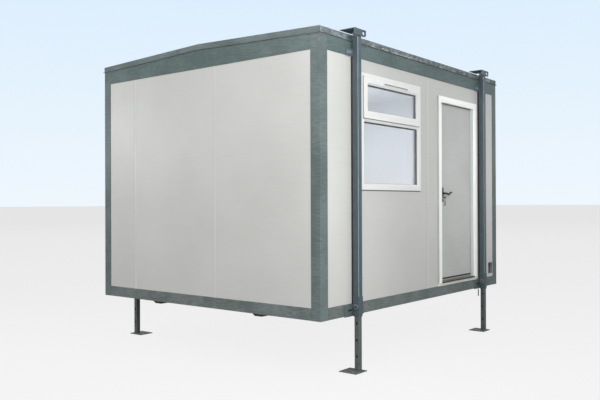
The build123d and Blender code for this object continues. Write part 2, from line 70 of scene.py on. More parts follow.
def new_finish(name):
    """Empty material, its node tree and the place of each point on the object."""
    made = bpy.data.materials.new(name)
    made.use_nodes = True
    made.node_tree.nodes.clear()
    return made, made.node_tree, add(made.node_tree, "TexCoord").outputs["Object"]


def two_tone(tree, where, dark, light, per_metre, detail, rough=0.5):
    """Uneven pattern of so many patches a metre, and the colour that follows it between two tones."""
    pattern = add(tree, "TexNoise", {"Vector": where, "Scale": per_metre, "Detail": detail,
                                     "Roughness": rough}).outputs["Fac"]
    colour = add(tree, "Mix", {0: pattern, 6: linear(dark), 7: linear(light)}, data_type="RGBA")
    return pattern, colour.outputs[2]


def surfaced(made, colour, roughness, relief=None, strength=0.5, relief_mm=0.1, more=None):
    """Ends a finish with its relief, its shader and the output, and gives the material back."""
    tree = made.node_tree
    sockets = {"Base Color": colour, "Roughness": roughness, **(more or {})}
    if relief is not None:
        bump = add(tree, "Bump", {"Height": relief, "Strength": strength, "Distance": relief_mm / 1000})
        sockets["Normal"] = bump.outputs[0]
    add(tree, "OutputMaterial", {"Surface": add(tree, "BsdfPrincipled", sockets).outputs[0]})
    return made


def dress(finish, *nodes):
    """Puts a finish on CAD solids that keep their shape."""
    for name in nodes:
        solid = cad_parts[name]
        if not solid.material_slots:
            solid.data.materials.append(finish)
        for slot in solid.material_slots:
            slot.material = finish


def sawn_timber(name, dark, light, ring_mm, roughness):
    """Wood cut along X: drawn-out grain, with growth rings a few millimetres apart."""
    made, tree, spot = new_finish(name)
    rings = 1000 / ring_mm
    drawn = add(tree, "Mapping", {"Vector": spot, "Scale": (rings / 30, rings, rings)}).outputs[0]
    grain, wood = two_tone(tree, drawn, dark, light, 1.0, 6.0, 0.65)
    blotch = add(tree, "TexNoise", {"Vector": spot, "Scale": 5.0, "Detail": 3.0}).outputs["Fac"]
    share = add(tree, "MapRange", {"Value": blotch, "From Min": 0.35, "From Max": 0.75, "To Max": 0.45})
    colour = add(tree, "Mix", {0: share.outputs[0], 6: wood, 7: linear(dark)}, data_type="RGBA")
    return surfaced(made, colour.outputs[2], roughness, grain, 0.6, 1.0)


# Oxide-stained sawn pine: dull red-brown, dry, with the grain showing through.
stained_pine = sawn_timber("oxide_stained_sawn_pine", "3f312d", "68504a", 6, 0.85)
dress(stained_pine, "skid_runners")

# ---------------- floor
# An insulated panel with steel skins carries 18 mm plywood sheets, laid with tight joints and
# sealed with a clear floor varnish.

# Birch-faced plywood: pale honey brown, satin under the varnish.
sealed_ply = sawn_timber("varnished_birch_plywood", "8f7350", "b89b72", 9, 0.45)
dress(sealed_ply, "floor_boards")


def coated_steel(name, colours, roughness, cloud_mm, streak_mm, streak_share, bump_mm, rib_mm=0):
    """Coil-coated steel sheet: colours are its darker, usual and lighter tones.

    Clouds are the slow tone changes of a rolled sheet, streaks run level along the rolling
    direction, and ribs are the shallow level lines pressed into wall panels."""
    made, tree, spot = new_finish(name)
    dark, usual, light = (linear(c) for c in colours)
    cloud = add(tree, "TexNoise", {"Vector": spot, "Scale": 1000 / cloud_mm, "Detail": 3.0})
    cloudy = add(tree, "MapRange", {"Value": cloud.outputs["Fac"], "From Min": 0.3, "From Max": 0.7})
    along, across = (1000 / mm for mm in streak_mm)
    level = add(tree, "Mapping", {"Vector": spot, "Scale": (along, along, across)})
    streak = add(tree, "TexNoise", {"Vector": level.outputs[0], "Scale": 1.0, "Detail": 4.0,
                                    "Roughness": 0.6}).outputs["Fac"]
    streaky = add(tree, "MapRange", {"Value": streak, "From Min": 0.3, "From Max": 0.7,
                                     "To Min": -streak_share, "To Max": streak_share})
    share = add(tree, "Math", {0: cloudy.outputs[0], 1: streaky.outputs[0]}, operation="ADD").outputs[0]
    below = add(tree, "MapRange", {"Value": share, "From Min": 0.0, "From Max": 0.5})
    above = add(tree, "MapRange", {"Value": share, "From Min": 0.5, "From Max": 1.0})
    low = add(tree, "Mix", {0: below.outputs[0], 6: dark, 7: usual}, data_type="RGBA")
    colour = add(tree, "Mix", {0: above.outputs[0], 6: low.outputs[2], 7: light}, data_type="RGBA")
    relief = streak
    if rib_mm:
        # At scale 1 the wave texture's bands are 314.16 mm apart.
        ribs = add(tree, "TexWave", {"Vector": spot, "Scale": 314.16 / rib_mm}, bands_direction="Z")
        relief = add(tree, "Math", {0: ribs.outputs["Fac"], 1: streak}, operation="ADD").outputs[0]
    return surfaced(made, colour.outputs[2], roughness, relief, 1.0, bump_mm, {"Specular IOR Level": 0.2})


# Polyester coil coating on micro-ribbed steel: warm off-white, satin. The ribs are drawn at
# 16 mm, coarser than the real 5 mm, so that they show.
panel_skin = coated_steel("micro_ribbed_coil_coated_steel", ("bcbdb9", "c0c1bd", "c4c5c1"), 0.36,
                          900, (240, 6), 0.3, 0.05, rib_mm=16)
dress(panel_skin, "floor_panel")

# ---------------- bottom trims
# Angles folded from steel sheet under the four walls: an upright face over the panels' feet and
# a flange that the panels stand on. A dark grey bead along their top edges, and along the fascias and corner
# trims, is painted shade for the trims' thin shadow lines.
STEEL = 0.004
TRIM_X, TRIM_Y, EAVES_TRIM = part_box("corner_trims")[1]
PANEL_X, PANEL_Y = TRIM_X - STEEL, TRIM_Y - STEEL
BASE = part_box("corner_trims")[0].z
TRIM_FACE = 0.106
BOTTOM_TRIM_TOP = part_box("front_wall_under_door")[0].z - STEEL + TRIM_FACE
CORNER_ON_SIDE = 0.107
CORNER_ON_END = 0.104
FLANGE = 0.054
JOINT_GAP = 0.0015
# (half length of the run, distance of the face from the centre) for front, right, rear, left
SIDES = [(TRIM_X - CORNER_ON_SIDE, TRIM_Y), (TRIM_Y - CORNER_ON_END, TRIM_X)] * 2

# ALONG_X lays an outline in (y, z) along X, and ALONG_Y lays one in (x, z) along Y.
ALONG_X = Matrix(((0, 0, 1, 0), (1, 0, 0, 0), (0, 1, 0, 0), (0, 0, 0, 1)))
ALONG_Y = Matrix(((1, 0, 0, 0), (0, 0, 1, 0), (0, 1, 0, 0), (0, 0, 0, 1)))


def to_side(quarter):
    """Turns what is drawn for the front wall to the front, right, rear or left."""
    return Matrix.Rotation(quarter * pi / 2, 4, "Z")


def mesh_data(name, mesh):
    """Mesh data of a worked mesh, which is freed."""
    data = bpy.data.meshes.new(name)
    mesh.to_mesh(data)
    mesh.free()
    return data


def merge(mesh, part, place=Matrix()):
    """Adds one mesh to another, moved into place, and gives the whole back."""
    part.transform(place)
    carried = mesh_data("carried", part)
    mesh.from_mesh(carried)
    bpy.data.meshes.remove(carried)
    return mesh


def eased(corners, radii, steps=4):
    """Outline with each corner rounded by its own radius, or all by one."""
    rounded = []
    for i, corner in enumerate(corners):
        radius = radii[i] if isinstance(radii, (list, tuple)) else radii
        point = Vector(corner)
        if not radius:
            rounded.append(point)
            continue
        back = (Vector(corners[i - 1]) - point).normalized()
        on = (Vector(corners[(i + 1) % len(corners)]) - point).normalized()
        half = back.angle(on) / 2
        centre = point + (back + on).normalized() * radius / sin(half)
        start = point + back * radius / tan(half) - centre
        end = point + on * radius / tan(half) - centre
        sweep = start.angle(end)
        for k in range(steps + 1):
            t = k / steps
            rounded.append(centre + (start * sin((1 - t) * sweep) + end * sin(t * sweep)) / sin(sweep))
    return rounded


def prism(mesh, outline, start, end, place=Matrix()):
    """Outline pushed from start to end, square to its own plane."""
    part = bmesh.new()
    near = [part.verts.new((a, b, start)) for a, b in outline]
    far = [part.verts.new((a, b, end)) for a, b in outline]
    part.faces.new(near)
    part.faces.new(far)
    for i in range(len(outline)):
        part.faces.new((near[i - 1], near[i], far[i], far[i - 1]))
    return merge(mesh, part, place)


def bar(mesh, low, high, ease=0.001, steps=2, place=Matrix()):
    """Block between two opposite corners, with rounded edges."""
    part = bmesh.new()
    low, high = Vector(low), Vector(high)
    span = Vector([abs(side) for side in high - low])
    bmesh.ops.create_cube(part, size=1, matrix=Matrix.LocRotScale((low + high) / 2, None, span))
    if ease:
        bmesh.ops.bevel(part, geom=part.edges[:], offset=ease, segments=steps, profile=0.5,
                        affect="EDGES")
    return merge(mesh, part, place)


def set_down(name, data):
    """New object in the scene."""
    made = bpy.data.objects.new(name, data)
    bpy.context.scene.collection.objects.link(made)
    return made


def piece(name, mesh, finish, body, slot, *nodes):
    """The finished piece: it rides on a body and stands for CAD nodes."""
    bmesh.ops.recalc_face_normals(mesh, faces=mesh.faces)
    data = mesh_data(name, mesh)
    data.shade_smooth()
    data.set_sharp_from_angle(angle=radians(50))
    data.materials.append(finish)
    made = set_down(name, data)
    made.modifiers.new("even_shading", "WEIGHTED_NORMAL").keep_sharp = True
    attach(made, body)
    if nodes:
        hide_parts(*nodes)


# Plastisol coating on folded steel: slate grey with a green cast, a fine level drag in its tone
# and a soft sheen.
trim_coat = coated_steel("slate_plastisol_coated_steel", ("55605f", "5e6968", "687473"), 0.42,
                         350, (60, 4), 0.9, 0.05)
# The bottom trims carry road dust, which pulls their grey towards beige, and are drawn lighter than the
# other trims as painted light from the floor's bounce.
dusty_and_bounce_lit_coat = coated_steel("dusty_bounce_lit_plastisol_bottom_trim", ("5c6462", "67706e", "747b79"), 0.5,
                          220, (80, 8), 0.9, 0.05)
trims = bmesh.new()
for quarter, (half, face) in enumerate(SIDES):
    fold = eased([(-face, BASE), (FLANGE - face, BASE), (FLANGE - face, BASE + STEEL),
                  (STEEL - face, BASE + STEEL), (STEEL - face, BOTTOM_TRIM_TOP),
                  (-face, BOTTOM_TRIM_TOP)], [0.004, 0, 0, 0, 0.001, 0.0015])
    prism(trims, fold, JOINT_GAP - half, half - JOINT_GAP, to_side(quarter) @ ALONG_X)
piece("bottom_trim_angles", trims, dusty_and_bounce_lit_coat, "cabin", "trim_steel", "bottom_trims")


def gunned_sealant(name, dark, light, roughness):
    """Elastic sealant pressed out of a gun: soft sheen, uneven from the tooling."""
    made, tree, spot = new_finish(name)
    lumps, colour = two_tone(tree, spot, dark, light, 60.0, 3.0)
    return surfaced(made, colour, roughness, lumps, 0.7, 1.0)


# Painted shade: a dull dark grey bead along every trim edge, standing in for the thin shadow line there.
shade_line_sealant = gunned_sealant("grey_painted_shade_sealant", "4e5553", "6a716e", 0.6)
PANEL_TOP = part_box("fascias")[0].z
SHADE_BEAD = 0.003
SHADE_BEAD_RISE = 0.0015
shade_beads = bmesh.new()
for quarter, (half, face) in enumerate(SIDES):
    skin = STEEL - face
    for left, right, low, high in ((-half, half, BOTTOM_TRIM_TOP, BOTTOM_TRIM_TOP + SHADE_BEAD),
                                   (-half, half, PANEL_TOP - SHADE_BEAD, PANEL_TOP),
                                   (-half, SHADE_BEAD - half, BOTTOM_TRIM_TOP, PANEL_TOP),
                                   (half - SHADE_BEAD, half, BOTTOM_TRIM_TOP, PANEL_TOP)):
        bar(shade_beads, (left, skin - SHADE_BEAD_RISE, low), (right, skin, high), 0.0006, 1, to_side(quarter))
piece("trim_edge_painted_shade", shade_beads, shade_line_sealant, "cabin", "trim_steel")

# ---------------- corner trims
# A folded angle up each corner, over the ends of the panels, from the underside to the roof
# edge. It is bent on a press brake, so its corner is a tight round bend.
BEND = 0.006
EDGE = 0.0015
inner_x, inner_y = TRIM_X - CORNER_ON_SIDE, TRIM_Y - CORNER_ON_END
angle = [(TRIM_X, TRIM_Y), (inner_x, TRIM_Y), (inner_x, PANEL_Y), (PANEL_X, PANEL_Y),
         (PANEL_X, inner_y), (TRIM_X, inner_y)]
corners = bmesh.new()
for side_x in (-1, 1):
    for side_y in (-1, 1):
        bent = eased([(side_x * a, side_y * b) for a, b in angle], [BEND, EDGE, 0, 0.002, 0, EDGE])
        prism(corners, bent, BASE, EAVES_TRIM)
piece("corner_trim_angles", corners, trim_coat, "cabin", "trim_steel", "corner_trims")

# ---------------- walls
# Sandwich panels 1.2 m wide: foam between two coated steel skins. They meet in an H-section
# joiner, whose flat cover strip shows on both faces; the fine dark line beside it outside is painted shade.
dress(panel_skin, "front_wall_left", "front_wall_window", "front_wall_middle", "front_wall_over_door",
      "front_wall_under_door", "front_wall_right", "rear_wall", "left_end_wall", "right_end_wall")

# The joiner's cover has the panels' coating, set a shade lighter than the panels as a painted highlight
# along each joint.
joint_highlight_coat = coated_steel("joint_cover_painted_highlight", ("c2c3bf", "c7c8c4", "cbccc8"), 0.36,
                          600, (200, 8), 0.3, 0.04)
FIRST_PANEL = 1.292
PANEL_MODULE = 1.208
SEAMS = (FIRST_PANEL, FIRST_PANEL + PANEL_MODULE)
COVER = 0.028
COVER_RISE = 0.0012
SHADE_LINE = 0.0024
SHADE_LINE_RISE = 0.0008
WALL = 0.050
ROOM_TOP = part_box("ceiling_panel")[0].z
ROOM_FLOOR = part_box("floor_boards")[1].z
# (face of the panel from the centre, places of the seams as seen before turning)
runs = ((PANEL_Y, [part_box("front_wall_middle")[0].x]), (PANEL_X, [s - TRIM_Y for s in SEAMS]),
        (PANEL_Y, [TRIM_X - s for s in SEAMS]), (PANEL_X, [TRIM_Y - s for s in SEAMS]))
covers, joint_shade_lines = bmesh.new(), bmesh.new()
for quarter, (face, places) in enumerate(runs):
    for s in places:
        left, right = s - COVER / 2, s + COVER / 2
        bar(covers, (left, -face - COVER_RISE, BOTTOM_TRIM_TOP), (right, -face, PANEL_TOP),
            0.0005, 1, to_side(quarter))
        bar(covers, (left, WALL - face, ROOM_FLOOR), (right, WALL - face + COVER_RISE, ROOM_TOP),
            0.0005, 1, to_side(quarter))
        bar(joint_shade_lines, (left - SHADE_LINE, -face - SHADE_LINE_RISE, BOTTOM_TRIM_TOP), (left, -face, PANEL_TOP),
            0.0003, 1, to_side(quarter))
piece("panel_joint_covers", covers, joint_highlight_coat, "cabin", "wall_panel")
# Painted shade: a grey strip beside each cover, only a little darker than the panels, where the joint's thin
# shadow line falls.
joint_shade_grey = gunned_sealant("joint_painted_shade_grey", "868985", "9c9e9a", 0.6)
piece("panel_joint_painted_shade", joint_shade_lines, joint_shade_grey, "cabin", "wall_panel")

# Coving in the panels' own coated steel closes the room's corners at the floor and the ceiling.
ROOM_X, ROOM_Y = PANEL_X - WALL, PANEL_Y - WALL
COVE = 0.030
COVE_THICK = 0.004
COVE_LIP = 0.002
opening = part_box("door_frame")
inside = bmesh.new()
for quarter, (half, face) in enumerate([(ROOM_X, ROOM_Y), (ROOM_Y, ROOM_X)] * 2):
    low_cove = eased([(-face, ROOM_FLOOR), (COVE / 3 - face, ROOM_FLOOR),
                      (COVE_THICK - face, ROOM_FLOOR + 0.012), (COVE_THICK - face, ROOM_FLOOR + 2 * COVE),
                      (-face, ROOM_FLOOR + 2 * COVE)], [0, 0.001, 0.006, 0.001, 0])
    high_cove = [(-face, ROOM_TOP), (-face, ROOM_TOP - COVE / 2), (COVE_LIP - face, ROOM_TOP - COVE / 2),
                 (COVE / 2 - face, ROOM_TOP - COVE_LIP), (COVE / 2 - face, ROOM_TOP)]
    lengths = [(-half, opening[0].x), (opening[1].x, half)] if quarter == 0 else [(-half, half)]
    for start, end in lengths:
        prism(inside, low_cove, start, end, to_side(quarter) @ ALONG_X)
    prism(inside, high_cove, -half, half, to_side(quarter) @ ALONG_X)
piece("room_coving", inside, panel_skin, "cabin", "wall_panel")

# ---------------- fascias
# Flat steel bands over the panels, tucked behind the roof edge and hemmed at the lower edge.
# The ones over the end walls rise to the ridge.
ROOF_EDGE = 0.058
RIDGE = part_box("roof_edge_left")[1].z
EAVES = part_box("roof_edge_front")[1].z
SLOPE = (RIDGE - EAVES) / TRIM_Y


def roof_at(y, drop=0.0):
    """Height of the roof edge's top at y, less a drop."""
    return RIDGE - SLOPE * abs(y) - drop


def rimmed(part, front, ease, steps=3, axis=1):
    """Plate across X or Y (axis 0 or 1) with the edges of its front rounded over."""
    rim = [e for e in part.edges if all(abs(v.co[axis] - front) < 1e-6 for v in e.verts)]
    bmesh.ops.bevel(part, geom=rim, offset=ease, segments=steps, profile=0.5, affect="EDGES")
    return part


def faced(mesh, outline, back, front, ease, place=Matrix()):
    """Plate across Y, from its rounded front to its back."""
    return merge(mesh, rimmed(prism(bmesh.new(), outline, front, back, ALONG_Y), front, ease), place)


fascias = bmesh.new()
for quarter, (half, face) in enumerate(SIDES):
    run = half - JOINT_GAP
    if quarter % 2:
        top = [(run, roof_at(run, ROOF_EDGE)), (0, RIDGE - ROOF_EDGE), (-run, roof_at(run, ROOF_EDGE))]
    else:
        top = [(run, EAVES - ROOF_EDGE), (-run, EAVES - ROOF_EDGE)]
    part = prism(bmesh.new(), [(-run, PANEL_TOP), (run, PANEL_TOP)] + top, -face, STEEL - face, ALONG_Y)
    merge(fascias, rimmed(part, -face, 0.0012, 2), to_side(quarter))
# The fascias come from a darker batch of the same coated steel.
fascia_coat = coated_steel("darker_plastisol_coated_fascia", ("4f5d5b", "576664", "617070"), 0.42,
                           350, (60, 4), 0.9, 0.05)
piece("fascia_bands", fascias, fascia_coat, "cabin", "trim_steel", "fascias")

# ---------------- ceiling and roof sheets
# The ceiling panel sits on the walls; steel rails on it carry two roof sheets that meet in a
# capping at the ridge. Lapped seams and hexagon screws with sealing washers hold the sheets.
dress(panel_skin, "ceiling_panel")
# The roof sheet's coating has weathered: duller and greyer than the trims.
roof_coat = coated_steel("weathered_plastisol_roof_sheet", ("565d5d", "636a69", "727877"), 0.62,
                         300, (220, 30), 0.8, 0.1)
dress(roof_coat, "roof_rails", "roof_sheet_front", "roof_sheet_rear")


def circle(radius, sides):
    """Points round a circle."""
    return [(radius * cos(2 * pi * k / sides), radius * sin(2 * pi * k / sides)) for k in range(sides)]


def turned(mesh, outline, place, sides):
    """Outline of (radius, height) points turned round the local Z."""
    part = bmesh.new()
    rings = []
    for radius, height in outline:
        points = circle(radius, sides) if radius else [(0, 0)]
        rings.append([part.verts.new((x, y, height)) for x, y in points])
    for low, high in zip(rings, rings[1:]):
        for k in range(sides):
            if len(low) == 1:
                part.faces.new((low[0], high[k - 1], high[k]))
            elif len(high) == 1:
                part.faces.new((low[k - 1], low[k], high[0]))
            else:
                part.faces.new((low[k - 1], low[k], high[k], high[k - 1]))
    for ring in (rings[0], rings[-1]):
        if len(ring) > 1:
            part.faces.new(ring)
    return merge(mesh, part, place)


def washer_screw(mesh, place, across=0.008, washer=0.0085):
    """Hexagon head on a domed sealing washer, standing along the local Z."""
    turned(mesh, [(washer, 0), (washer, 0.0006), (washer * 0.7, 0.0014), (0.0, 0.0014)], place, 20)
    head = across / 2 / cos(pi / 6)
    turned(mesh, [(head, 0.001), (head, 0.0044), (head * 0.85, 0.0052), (0, 0.0052)], place, 6)


def tilt_to(direction, spot):
    """Place at a spot whose local Z looks along a direction."""
    return Matrix.Translation(spot) @ Vector(direction).to_track_quat("Z", "Y").to_matrix().to_4x4()


def band(half, top, bottom):
    """Strip that follows both slopes, between two drops below the roof line."""
    return [(-half, roof_at(half, bottom)), (0, RIDGE - bottom), (half, roof_at(half, bottom)),
            (half, roof_at(half, top)), (0, RIDGE - top), (-half, roof_at(half, top))]


LAPS = (-1.35, -0.45, 0.45, 1.35)
LAP = 0.034
LAP_RISE = 0.0022
SHEET_DROP = 0.004
CAP_HALF = 0.055
CAP_DROP = 0.0018
END_GAP = 0.075
SCREW_PITCH = 0.30
FIRST_SCREW = 0.14
SCREW_DROP = 0.002
foot = TRIM_Y - END_GAP
lap = [(CAP_HALF, SHEET_DROP), (foot, SHEET_DROP), (foot, SHEET_DROP - LAP_RISE),
       (CAP_HALF, SHEET_DROP - LAP_RISE)]
laps, roof_screws = bmesh.new(), bmesh.new()
for side in (-1, 1):
    for x in LAPS:
        prism(laps, [(side * y, roof_at(y, drop)) for y, drop in lap], x - LAP / 2, x + LAP / 2, ALONG_X)
        for k in range(5):
            y = FIRST_SCREW + k * SCREW_PITCH
            spot = (x, side * y, roof_at(y, SCREW_DROP))
            washer_screw(roof_screws, tilt_to((0, side * SLOPE, 1), spot))
prism(laps, band(CAP_HALF, CAP_DROP, SHEET_DROP), END_GAP - TRIM_X, TRIM_X - END_GAP, ALONG_X)
piece("roof_laps_and_ridge_cap", laps, roof_coat, "cabin", "roof_steel")

# ---------------- roof edges
# Folded trims round the roof: a flange on the sheet, an upright face and a drip lip at its foot.
# The long ones are screwed every 300 mm and patched with smears of pale sealant.
LIP = 0.010
EDGE_FLANGE = 0.070
FIRST_EDGE_SCREW = -1.65
EDGE_SCREW_DROP = 0.024
SMEAR_DROP = 0.040

# The eaves trims are older stock: the same grey gone brown with dust and water marks.
eaves_coat = coated_steel("dusty_weathered_roof_edge", ("51595c", "6b7376", "888f91"), 0.6,
                          90, (70, 9), 0.7, 0.12)
low = EAVES - ROOF_EDGE
flange = TRIM_Y - EDGE_FLANGE
eaves_fold = eased([(-TRIM_Y - LIP, low), (-PANEL_Y, low), (-PANEL_Y, roof_at(PANEL_Y, STEEL)),
                    (-flange, roof_at(flange, STEEL)), (-flange, roof_at(flange)),
                    (-TRIM_Y, EAVES), (-TRIM_Y, low + STEEL), (-TRIM_Y - LIP, low + STEEL)],
                   [0.0015, 0, 0, 0, 0.001, 0.003, 0.002, 0.0015])
run = TRIM_X - 0.0005
for name, quarter in (("front", 0), ("rear", 2)):
    edge = prism(bmesh.new(), eaves_fold, -run, run, to_side(quarter) @ ALONG_X)
    piece(f"eaves_trim_{name}", edge, eaves_coat, "cabin", "trim_steel", f"roof_edge_{name}")

# Newer verge trims: a little lighter than the fascias below them.
verge_coat = coated_steel("verge_plastisol_coated_steel", ("5a6565", "636e6d", "6e7878"), 0.46,
                          300, (90, 6), 0.6, 0.05)
for name, side in (("left", -1), ("right", 1)):
    verge = bmesh.new()
    for outline, front, back in ((band(TRIM_Y, 0, ROOF_EDGE), TRIM_X, PANEL_X),
                                 (band(TRIM_Y + LIP, ROOF_EDGE - STEEL, ROOF_EDGE), TRIM_X + LIP, TRIM_X),
                                 (band(flange, 0, STEEL), PANEL_X, PANEL_X - EDGE_FLANGE)):
        part = prism(bmesh.new(), outline, side * front, side * back, ALONG_X)
        merge(verge, rimmed(part, side * front, 0.0014, 2, axis=0))
    for v in verge.verts:
        v.co.z = min(v.co.z, roof_at(v.co.y))
    piece(f"verge_trim_{name}", verge, verge_coat, "cabin", "trim_steel", f"roof_edge_{name}")

for side in (-1, 1):
    for k in range(12):
        spot = (FIRST_EDGE_SCREW + k * SCREW_PITCH, side * TRIM_Y, EAVES - EDGE_SCREW_DROP)
        washer_screw(roof_screws, tilt_to((0, side, 0.0), spot))


def plated_steel(name, dark, light, roughness):
    """Zinc-plated steel: metal with a dull passivated bloom in its colour and gloss."""
    made, tree, spot = new_finish(name)
    bloom, colour = two_tone(tree, spot, dark, light, 140.0, 4.0)
    gloss = add(tree, "MapRange", {"Value": bloom, "To Min": roughness - 0.08, "To Max": roughness + 0.12})
    return surfaced(made, colour, gloss.outputs[0], more={"Metallic": 1.0})


# Zinc plate, passivated: pale and slightly mottled.
zinc = plated_steel("zinc_plated_fixings", "9a9d9e", "c4c6c6", 0.38)
piece("roof_screws", roof_screws, zinc, "cabin", "hinge_steel")

# White sealant, smeared along the front roof edge at its laps: chalky, uneven dabs.
chalky_sealant = gunned_sealant("chalked_white_sealant", "8b8984", "bcbab4", 0.75)
# (where each smear starts along the front, its length)
SMEARS = ((-1.02, 0.05), (-0.83, 0.12), (-0.62, 0.20), (-0.42, 0.16), (-0.10, 0.05), (0.35, 0.06),
          (0.92, 0.05), (1.42, 0.05))
DAB_PITCH = 0.02
smears = bmesh.new()
draw = random.Random(7)
for x, length in SMEARS:
    count = max(2, int(length / DAB_PITCH))
    for k in range(count):
        spot = x + (k + 0.5) / count * length + draw.uniform(-0.006, 0.006)
        z = EAVES - SMEAR_DROP + draw.uniform(-0.009, 0.006)
        size = draw.uniform(0.006, 0.012)
        part = bmesh.new()
        bmesh.ops.create_icosphere(part, subdivisions=2, radius=1.0)
        for v in part.verts:
            v.co *= 1 + draw.uniform(-0.12, 0.12)
        merge(smears, part, Matrix.Translation((spot, -TRIM_Y, z))
              @ Matrix.Diagonal((size * 1.5, 0.0022, size * 0.8, 1)))
piece("roof_edge_sealant_dabs", smears, chalky_sealant, "cabin", "trim_steel")

# ---------------- window frame
# White extruded uPVC, cut at 45 degrees and welded at the corners. A sloping bead holds the lower
# pane; the transom divides it from the fanlight above.
FRAME_LOW, FRAME_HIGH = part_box("window_frame")
SASH_LOW, SASH_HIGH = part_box("window_sash")
FRAME_FACE = 0.040
WINDOW_FACE = 0.062
FRAME_Y, FRAME_BACK = FRAME_LOW.y, FRAME_HIGH.y
TRANSOM_HIGH = SASH_LOW.z + 0.032
TRANSOM_LOW = TRANSOM_HIGH - WINDOW_FACE
GLASS_RECESS = 0.017
GLASS_UNIT = 0.024
BEAD_INNER = 0.022


def moulded_plastic(name, dark, light, roughness, cloud_mm=60, grain_mm=0.8):
    """Plastic as it leaves the die or the mould: even colour with a faint cloud and fine grain."""
    made, tree, spot = new_finish(name)
    colour = two_tone(tree, spot, dark, light, 1000 / cloud_mm, 2.0)[1]
    grain = add(tree, "TexNoise", {"Vector": spot, "Scale": 1000 / grain_mm, "Detail": 1.0})
    return surfaced(made, colour, roughness, grain.outputs["Fac"], 0.5, 0.01, {"IOR": 1.53})


def mitred(mesh, low, high, section, open_foot=False):
    """Section of (side inset, top inset, depth) points carried round a rectangle with mitres.

    With an open foot it runs up one side, across the top and down the other."""
    part = bmesh.new()
    loops = []
    for side, top, depth in section:
        left, right, head = low[0] + side, high[0] - side, high[1] - top
        foot = low[1] if open_foot else low[1] + top
        loops.append([part.verts.new((x, z, depth)) for x, z in ((left, foot), (left, head),
                                                                 (right, head), (right, foot))])
    for i in range(len(loops)):
        for k in range(1 if open_foot else 0, 4):
            part.faces.new((loops[i - 1][k - 1], loops[i - 1][k], loops[i][k], loops[i][k - 1]))
    if open_foot:
        part.faces.new([loop[0] for loop in loops])
        part.faces.new([loop[3] for loop in loops])
    return merge(mesh, part, ALONG_Y)


def evenly(points, radii=0):
    """Eased section whose insets are the same at the sides and the top."""
    return [(inset, inset, depth) for inset, depth in eased(points, radii)]


# Extruded uPVC: cool white with a smooth low gloss.
upvc = moulded_plastic("extruded_white_upvc", "dadbd9", "e2e3e0", 0.3)
outer = evenly([(0, FRAME_BACK), (0, FRAME_Y), (FRAME_FACE, FRAME_Y), (FRAME_FACE, FRAME_BACK)],
               [0, 0.003, 0.0008, 0])
frame_mesh = mitred(bmesh.new(), (FRAME_LOW.x, FRAME_LOW.z), (FRAME_HIGH.x, FRAME_HIGH.z), outer)
# Bead round the lower pane, sloping in to the glass.
glass_front = FRAME_Y + GLASS_RECESS
glass_back = glass_front + GLASS_UNIT
bead = evenly([(0, FRAME_BACK), (0, FRAME_Y + 0.0008), (0.007, FRAME_Y + 0.0008),
               (BEAD_INNER, FRAME_Y + 0.011), (BEAD_INNER, glass_front), (0.014, glass_front),
               (0.014, glass_back), (BEAD_INNER, glass_back), (BEAD_INNER, FRAME_BACK)],
              [0, 0, 0.001, 0.002, 0, 0, 0, 0.002, 0.002])
mitred(frame_mesh, (FRAME_LOW.x + FRAME_FACE, FRAME_LOW.z + FRAME_FACE),
       (FRAME_HIGH.x - FRAME_FACE, TRANSOM_LOW + BEAD_INNER), bead)
bar(frame_mesh, (FRAME_LOW.x + 0.030, FRAME_Y + 0.0012, TRANSOM_LOW + 0.021),
    (FRAME_HIGH.x - 0.030, FRAME_BACK, TRANSOM_HIGH), 0.001)
piece("window_outer_frame", frame_mesh, upvc, "cabin", "upvc", "window_frame")

# ---------------- fanlight sash and its vent
# The top-hung sash stands proud of the frame on a grey flipper seal. A slotted trickle vent is
# screwed over the routed slots in its top rail.
SASH_FACE = 0.076
SASH_Y = SASH_LOW.y
SASH_GAP = 0.006
SASH_BACK = SASH_Y + 0.040
SASH_INNER = SASH_FACE - 0.008
REBATE = 0.036
sash_corners = (SASH_LOW.x, SASH_LOW.z), (SASH_HIGH.x, SASH_HIGH.z)
sash_section = evenly([(0, FRAME_Y - SASH_GAP), (0, SASH_Y), (SASH_FACE - 0.018, SASH_Y),
                       (SASH_FACE, SASH_Y + 0.012), (SASH_FACE, SASH_Y + GLASS_RECESS),
                       (SASH_INNER, SASH_Y + GLASS_RECESS), (SASH_INNER, SASH_BACK), (REBATE, SASH_BACK),
                       (REBATE, FRAME_Y - SASH_GAP)],
                      [0.001, 0.003, 0.002, 0.003, 0, 0, 0, 0, 0])
sash = mitred(bmesh.new(), *sash_corners, sash_section)
piece("fanlight_sash", sash, upvc, "cabin", "upvc", "window_sash")

# Flipper seal: grey soft rubber, which shows as a thin line round the sash.
flipper_finish = moulded_plastic("grey_flipper_seal", "7c7f80", "8c8f90", 0.7)
flipper = evenly([(-0.004, FRAME_Y), (-0.003, FRAME_Y - 0.002), (0.001, FRAME_Y - SASH_GAP),
                  (0.010, FRAME_Y - SASH_GAP), (0.010, FRAME_Y)])
flippers = mitred(bmesh.new(), *sash_corners, flipper)
piece("fanlight_flipper_seal", flippers, flipper_finish, "cabin", "inlet_plastic")

VENT_LOW, VENT_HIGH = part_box("trickle_vent")
SLOT = 0.007
END_CAP = 0.008
vent_mid = (VENT_LOW.z + VENT_HIGH.z) / 2 - 0.001
vent = bar(bmesh.new(), VENT_LOW, (VENT_HIGH.x, VENT_HIGH.y, vent_mid - SLOT / 2), 0.0018)
bar(vent, (VENT_LOW.x, VENT_LOW.y, vent_mid + SLOT / 2), VENT_HIGH, 0.0018)
for x in (VENT_LOW.x, VENT_HIGH.x - END_CAP):
    bar(vent, (x, VENT_LOW.y + 0.0005, vent_mid - SLOT), (x + END_CAP, VENT_HIGH.y, vent_mid + SLOT),
        0.0005)
piece("trickle_vent_hood", vent, upvc, "cabin", "upvc", "trickle_vent")
